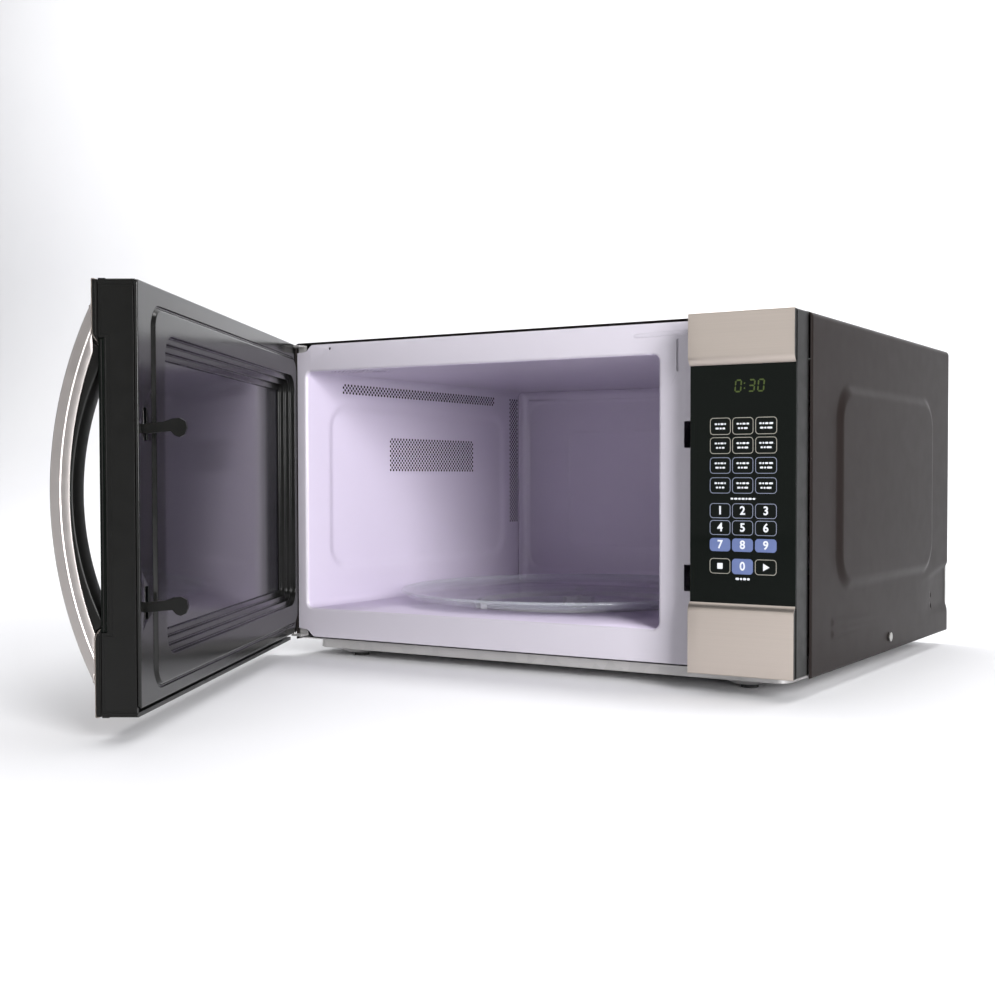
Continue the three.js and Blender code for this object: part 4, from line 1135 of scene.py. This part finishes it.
def build_trim(name, body, x0, x1, front, edge, outer):
    """One brushed band: a thin folded sheet over a black moulding."""
    path = trim_profile(front, edge, outer)
    bm = bmesh.new()
    stack_rows(bm, [[(x, y, z) for y, z in path] for x in spaced(x0, x1, 12)])
    sheet = from_bmesh(f"{name}_sheet", bm, body, "stainless", towards=FRONTWARD, sharp=60)
    flat_shading(solidify(sheet, TRIM_SHEET))
    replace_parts(sheet, name)
    back = front + TRIM_DEPTH
    under = TRIM_SHEET + 0.05
    inside = [(y + under, z) for y, z in path[:-1]]
    sunk = math.copysign(under, edge - outer)
    outline = [(back, edge), *inside[:-1], (inside[-1][0], outer + sunk), (back, outer + sunk)]
    bm = bmesh.new()
    stack_solid(bm, [[(x, y, z) for y, z in outline] for x in (x0 + 0.3, x1 - 0.3)])
    backing = from_bmesh(f"{name}_backing", bm, body, "black_plastic", sharp=30)
    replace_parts(backing, name)


def build_trims():
    door = (DOOR_FLANGE[0], DOOR_FLANGE[2], DOOR_FRONT)
    panel_low, panel_high = cabinet_box("panel_trim_upper")
    panel = (panel_low.x, panel_high.x, panel_low.y)
    build_trim("door_trim_upper", "door", *door, UPPER_EDGE, 299.0)
    build_trim("door_trim_lower", "door", *door, LOWER_EDGE, 1.2)
    build_trim("panel_trim_upper", "cabinet", *panel, UPPER_EDGE, panel_high.z)
    lowest = cabinet_box("panel_trim_lower")[0].z
    build_trim("panel_trim_lower", "cabinet", *panel, LOWER_EDGE, lowest)


# ---- turntable ----


def build_plate():
    """The glass plate: a flat middle, a dished edge and a rounded rim, on a ring foot."""
    z, radius, thickness = PLATE_LOW.z, PLATE_RADIUS, 4.5
    top = PLATE_HIGH.z
    upper = [(0, z + thickness), (radius - 26, z + thickness), (radius - 10, z + 6)]
    upper += [(radius - 3, top - 0.6), (radius - 1.6, top)]
    lower = [(radius, top - 1.4), (radius, top - 2.6), (radius - 8, z + 2), (radius - 22, z)]
    lower.append((radius - 60, z))
    recess = z + 0.6
    foot = [(radius - 61, recess), (62, recess), (61, z), (56, z), (55, recess), (0, recess)]
    bm = bmesh.new()
    lathe(bm, rounded_path(upper + lower, 3.0, 4) + foot, 128)
    plate = from_bmesh("turntable_glass", bm, "plate", "clear_glass")
    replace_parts(plate, "glass_plate")


# ---- carried-over nodes ----

SLOT_OF = {part["node"]: part["material_slot"] for part in frame["record"]["subparts"]}
PLAIN_SHEETS = ("rear_panel",)
EDGE_ROUND = {
    "stainless": 0.5, "silver_plating": 0.6, "inner_door_plastic": 0.7, "black_plastic": 0.5,
}


def dress_nodes():
    """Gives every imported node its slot's material and smooth shading; plain sheets stay sharp."""
    for name, node in NODES.items():
        if not node.material_slots:
            node.data.materials.append(None)
        for place in node.material_slots:
            place.link = "OBJECT"
            place.material = SLOT_MATERIALS[SLOT_OF[name]].data
        for face in node.data.polygons:
            face.use_smooth = True
        if "custom_normal" in node.data.attributes:
            node.data.attributes.remove(node.data.attributes["custom_normal"])
        node.modifiers.new("joined_faces", "WELD").merge_threshold = 0.01 * MM
        if name not in PLAIN_SHEETS:
            bevel(node, EDGE_ROUND.get(SLOT_OF[name], 0.3))
        flat_shading(node)


# ---- stage ----


def build_stage():
    """A pale floor that curves up into a backdrop behind the oven."""
    bm = bmesh.new()
    half_width, front, back, rise = 6.0, -5.0, 2.2, 1.2
    profile = [(front, 0.0)]
    profile += [(back + rise * math.sin(a), rise * (1 - math.cos(a))) for a in rolled(16)]
    profile.append((back + rise, 5.0))
    stack_rows(bm, [[(side * half_width, y, z) for side in (-1, 1)] for y, z in profile])
    mesh = bpy.data.meshes.new("floor")
    bm.to_mesh(mesh)
    bm.free()
    for face in mesh.polygons:
        face.use_smooth = True
    material = Material("floor_paper", (226, 226, 228), 0.85)
    material.vary_colour(material.noise(2), (222, 222, 225), 0.5)
    mesh.materials.append(material.data)
    add_object("floor", mesh)


def area_light(name, place, target, width, height, power, colour=(1, 1, 1)):
    light = bpy.data.lights.new(name, "AREA")
    light.shape = "RECTANGLE"
    light.size = width
    light.size_y = height
    light.energy = power
    light.color = colour
    lamp = add_object(name, light)
    lamp.location = place
    lamp.rotation_euler = (Vector(target) - Vector(place)).to_track_quat("-Z", "Y").to_euler()


def build_lights():
    """A softbox at the right, cut off by the cavity's mouth, and soft fills."""
    area_light("right_softbox", (1.9, -1.25, 0.75), (-0.1, 0.0, 0.15), 0.9, 1.2, 78)
    area_light("front_fill", (-0.75, -2.1, 0.75), (0.2, -0.2, 0.2), 2.0, 1.5, 9)
    area_light("overhead", (0.0, 0.6, 2.8), (0.0, 0.6, 0), 3.0, 3.0, 40)
    area_light("backdrop_wash", (-2.0, 0.9, 3.2), (-2.0, 3.4, 0.7), 7.0, 1.6, 230)
    world = bpy.data.worlds.new("studio")
    world.use_nodes = True
    background = world.node_tree.nodes["Background"]
    background.inputs["Color"].default_value = (0.92, 0.94, 1.0, 1.0)
    background.inputs["Strength"].default_value = 0.08
    bpy.context.scene.world = world


EYE = (943.19, -1037.22, 165.1)
LOOK_DOWN, LOOK_LEFT = math.radians(1.62), math.radians(29.76)


def build_camera():
    camera = bpy.data.cameras.new("camera")
    camera.lens = 48.5
    camera.sensor_width = 36
    camera.shift_x = -0.1
    camera.shift_y = 0.0149
    holder = add_object("camera", camera)
    holder.location = CABINET @ Vector(EYE)
    holder.rotation_euler = (math.pi / 2 - LOOK_DOWN, 0, LOOK_LEFT)
    bpy.context.scene.camera = holder
    bpy.context.scene.view_settings.view_transform = "Standard"


# ---- the microwave ----

build_camera()
build_stage()
build_lights()
dress_nodes()
build_cavity()
build_cover()
build_face()
build_keypad()
build_display()
build_door_cover()
build_door_edge()
build_handle_shell()
build_handle_grip()
build_latch_spring()
build_plate()
build_trims()
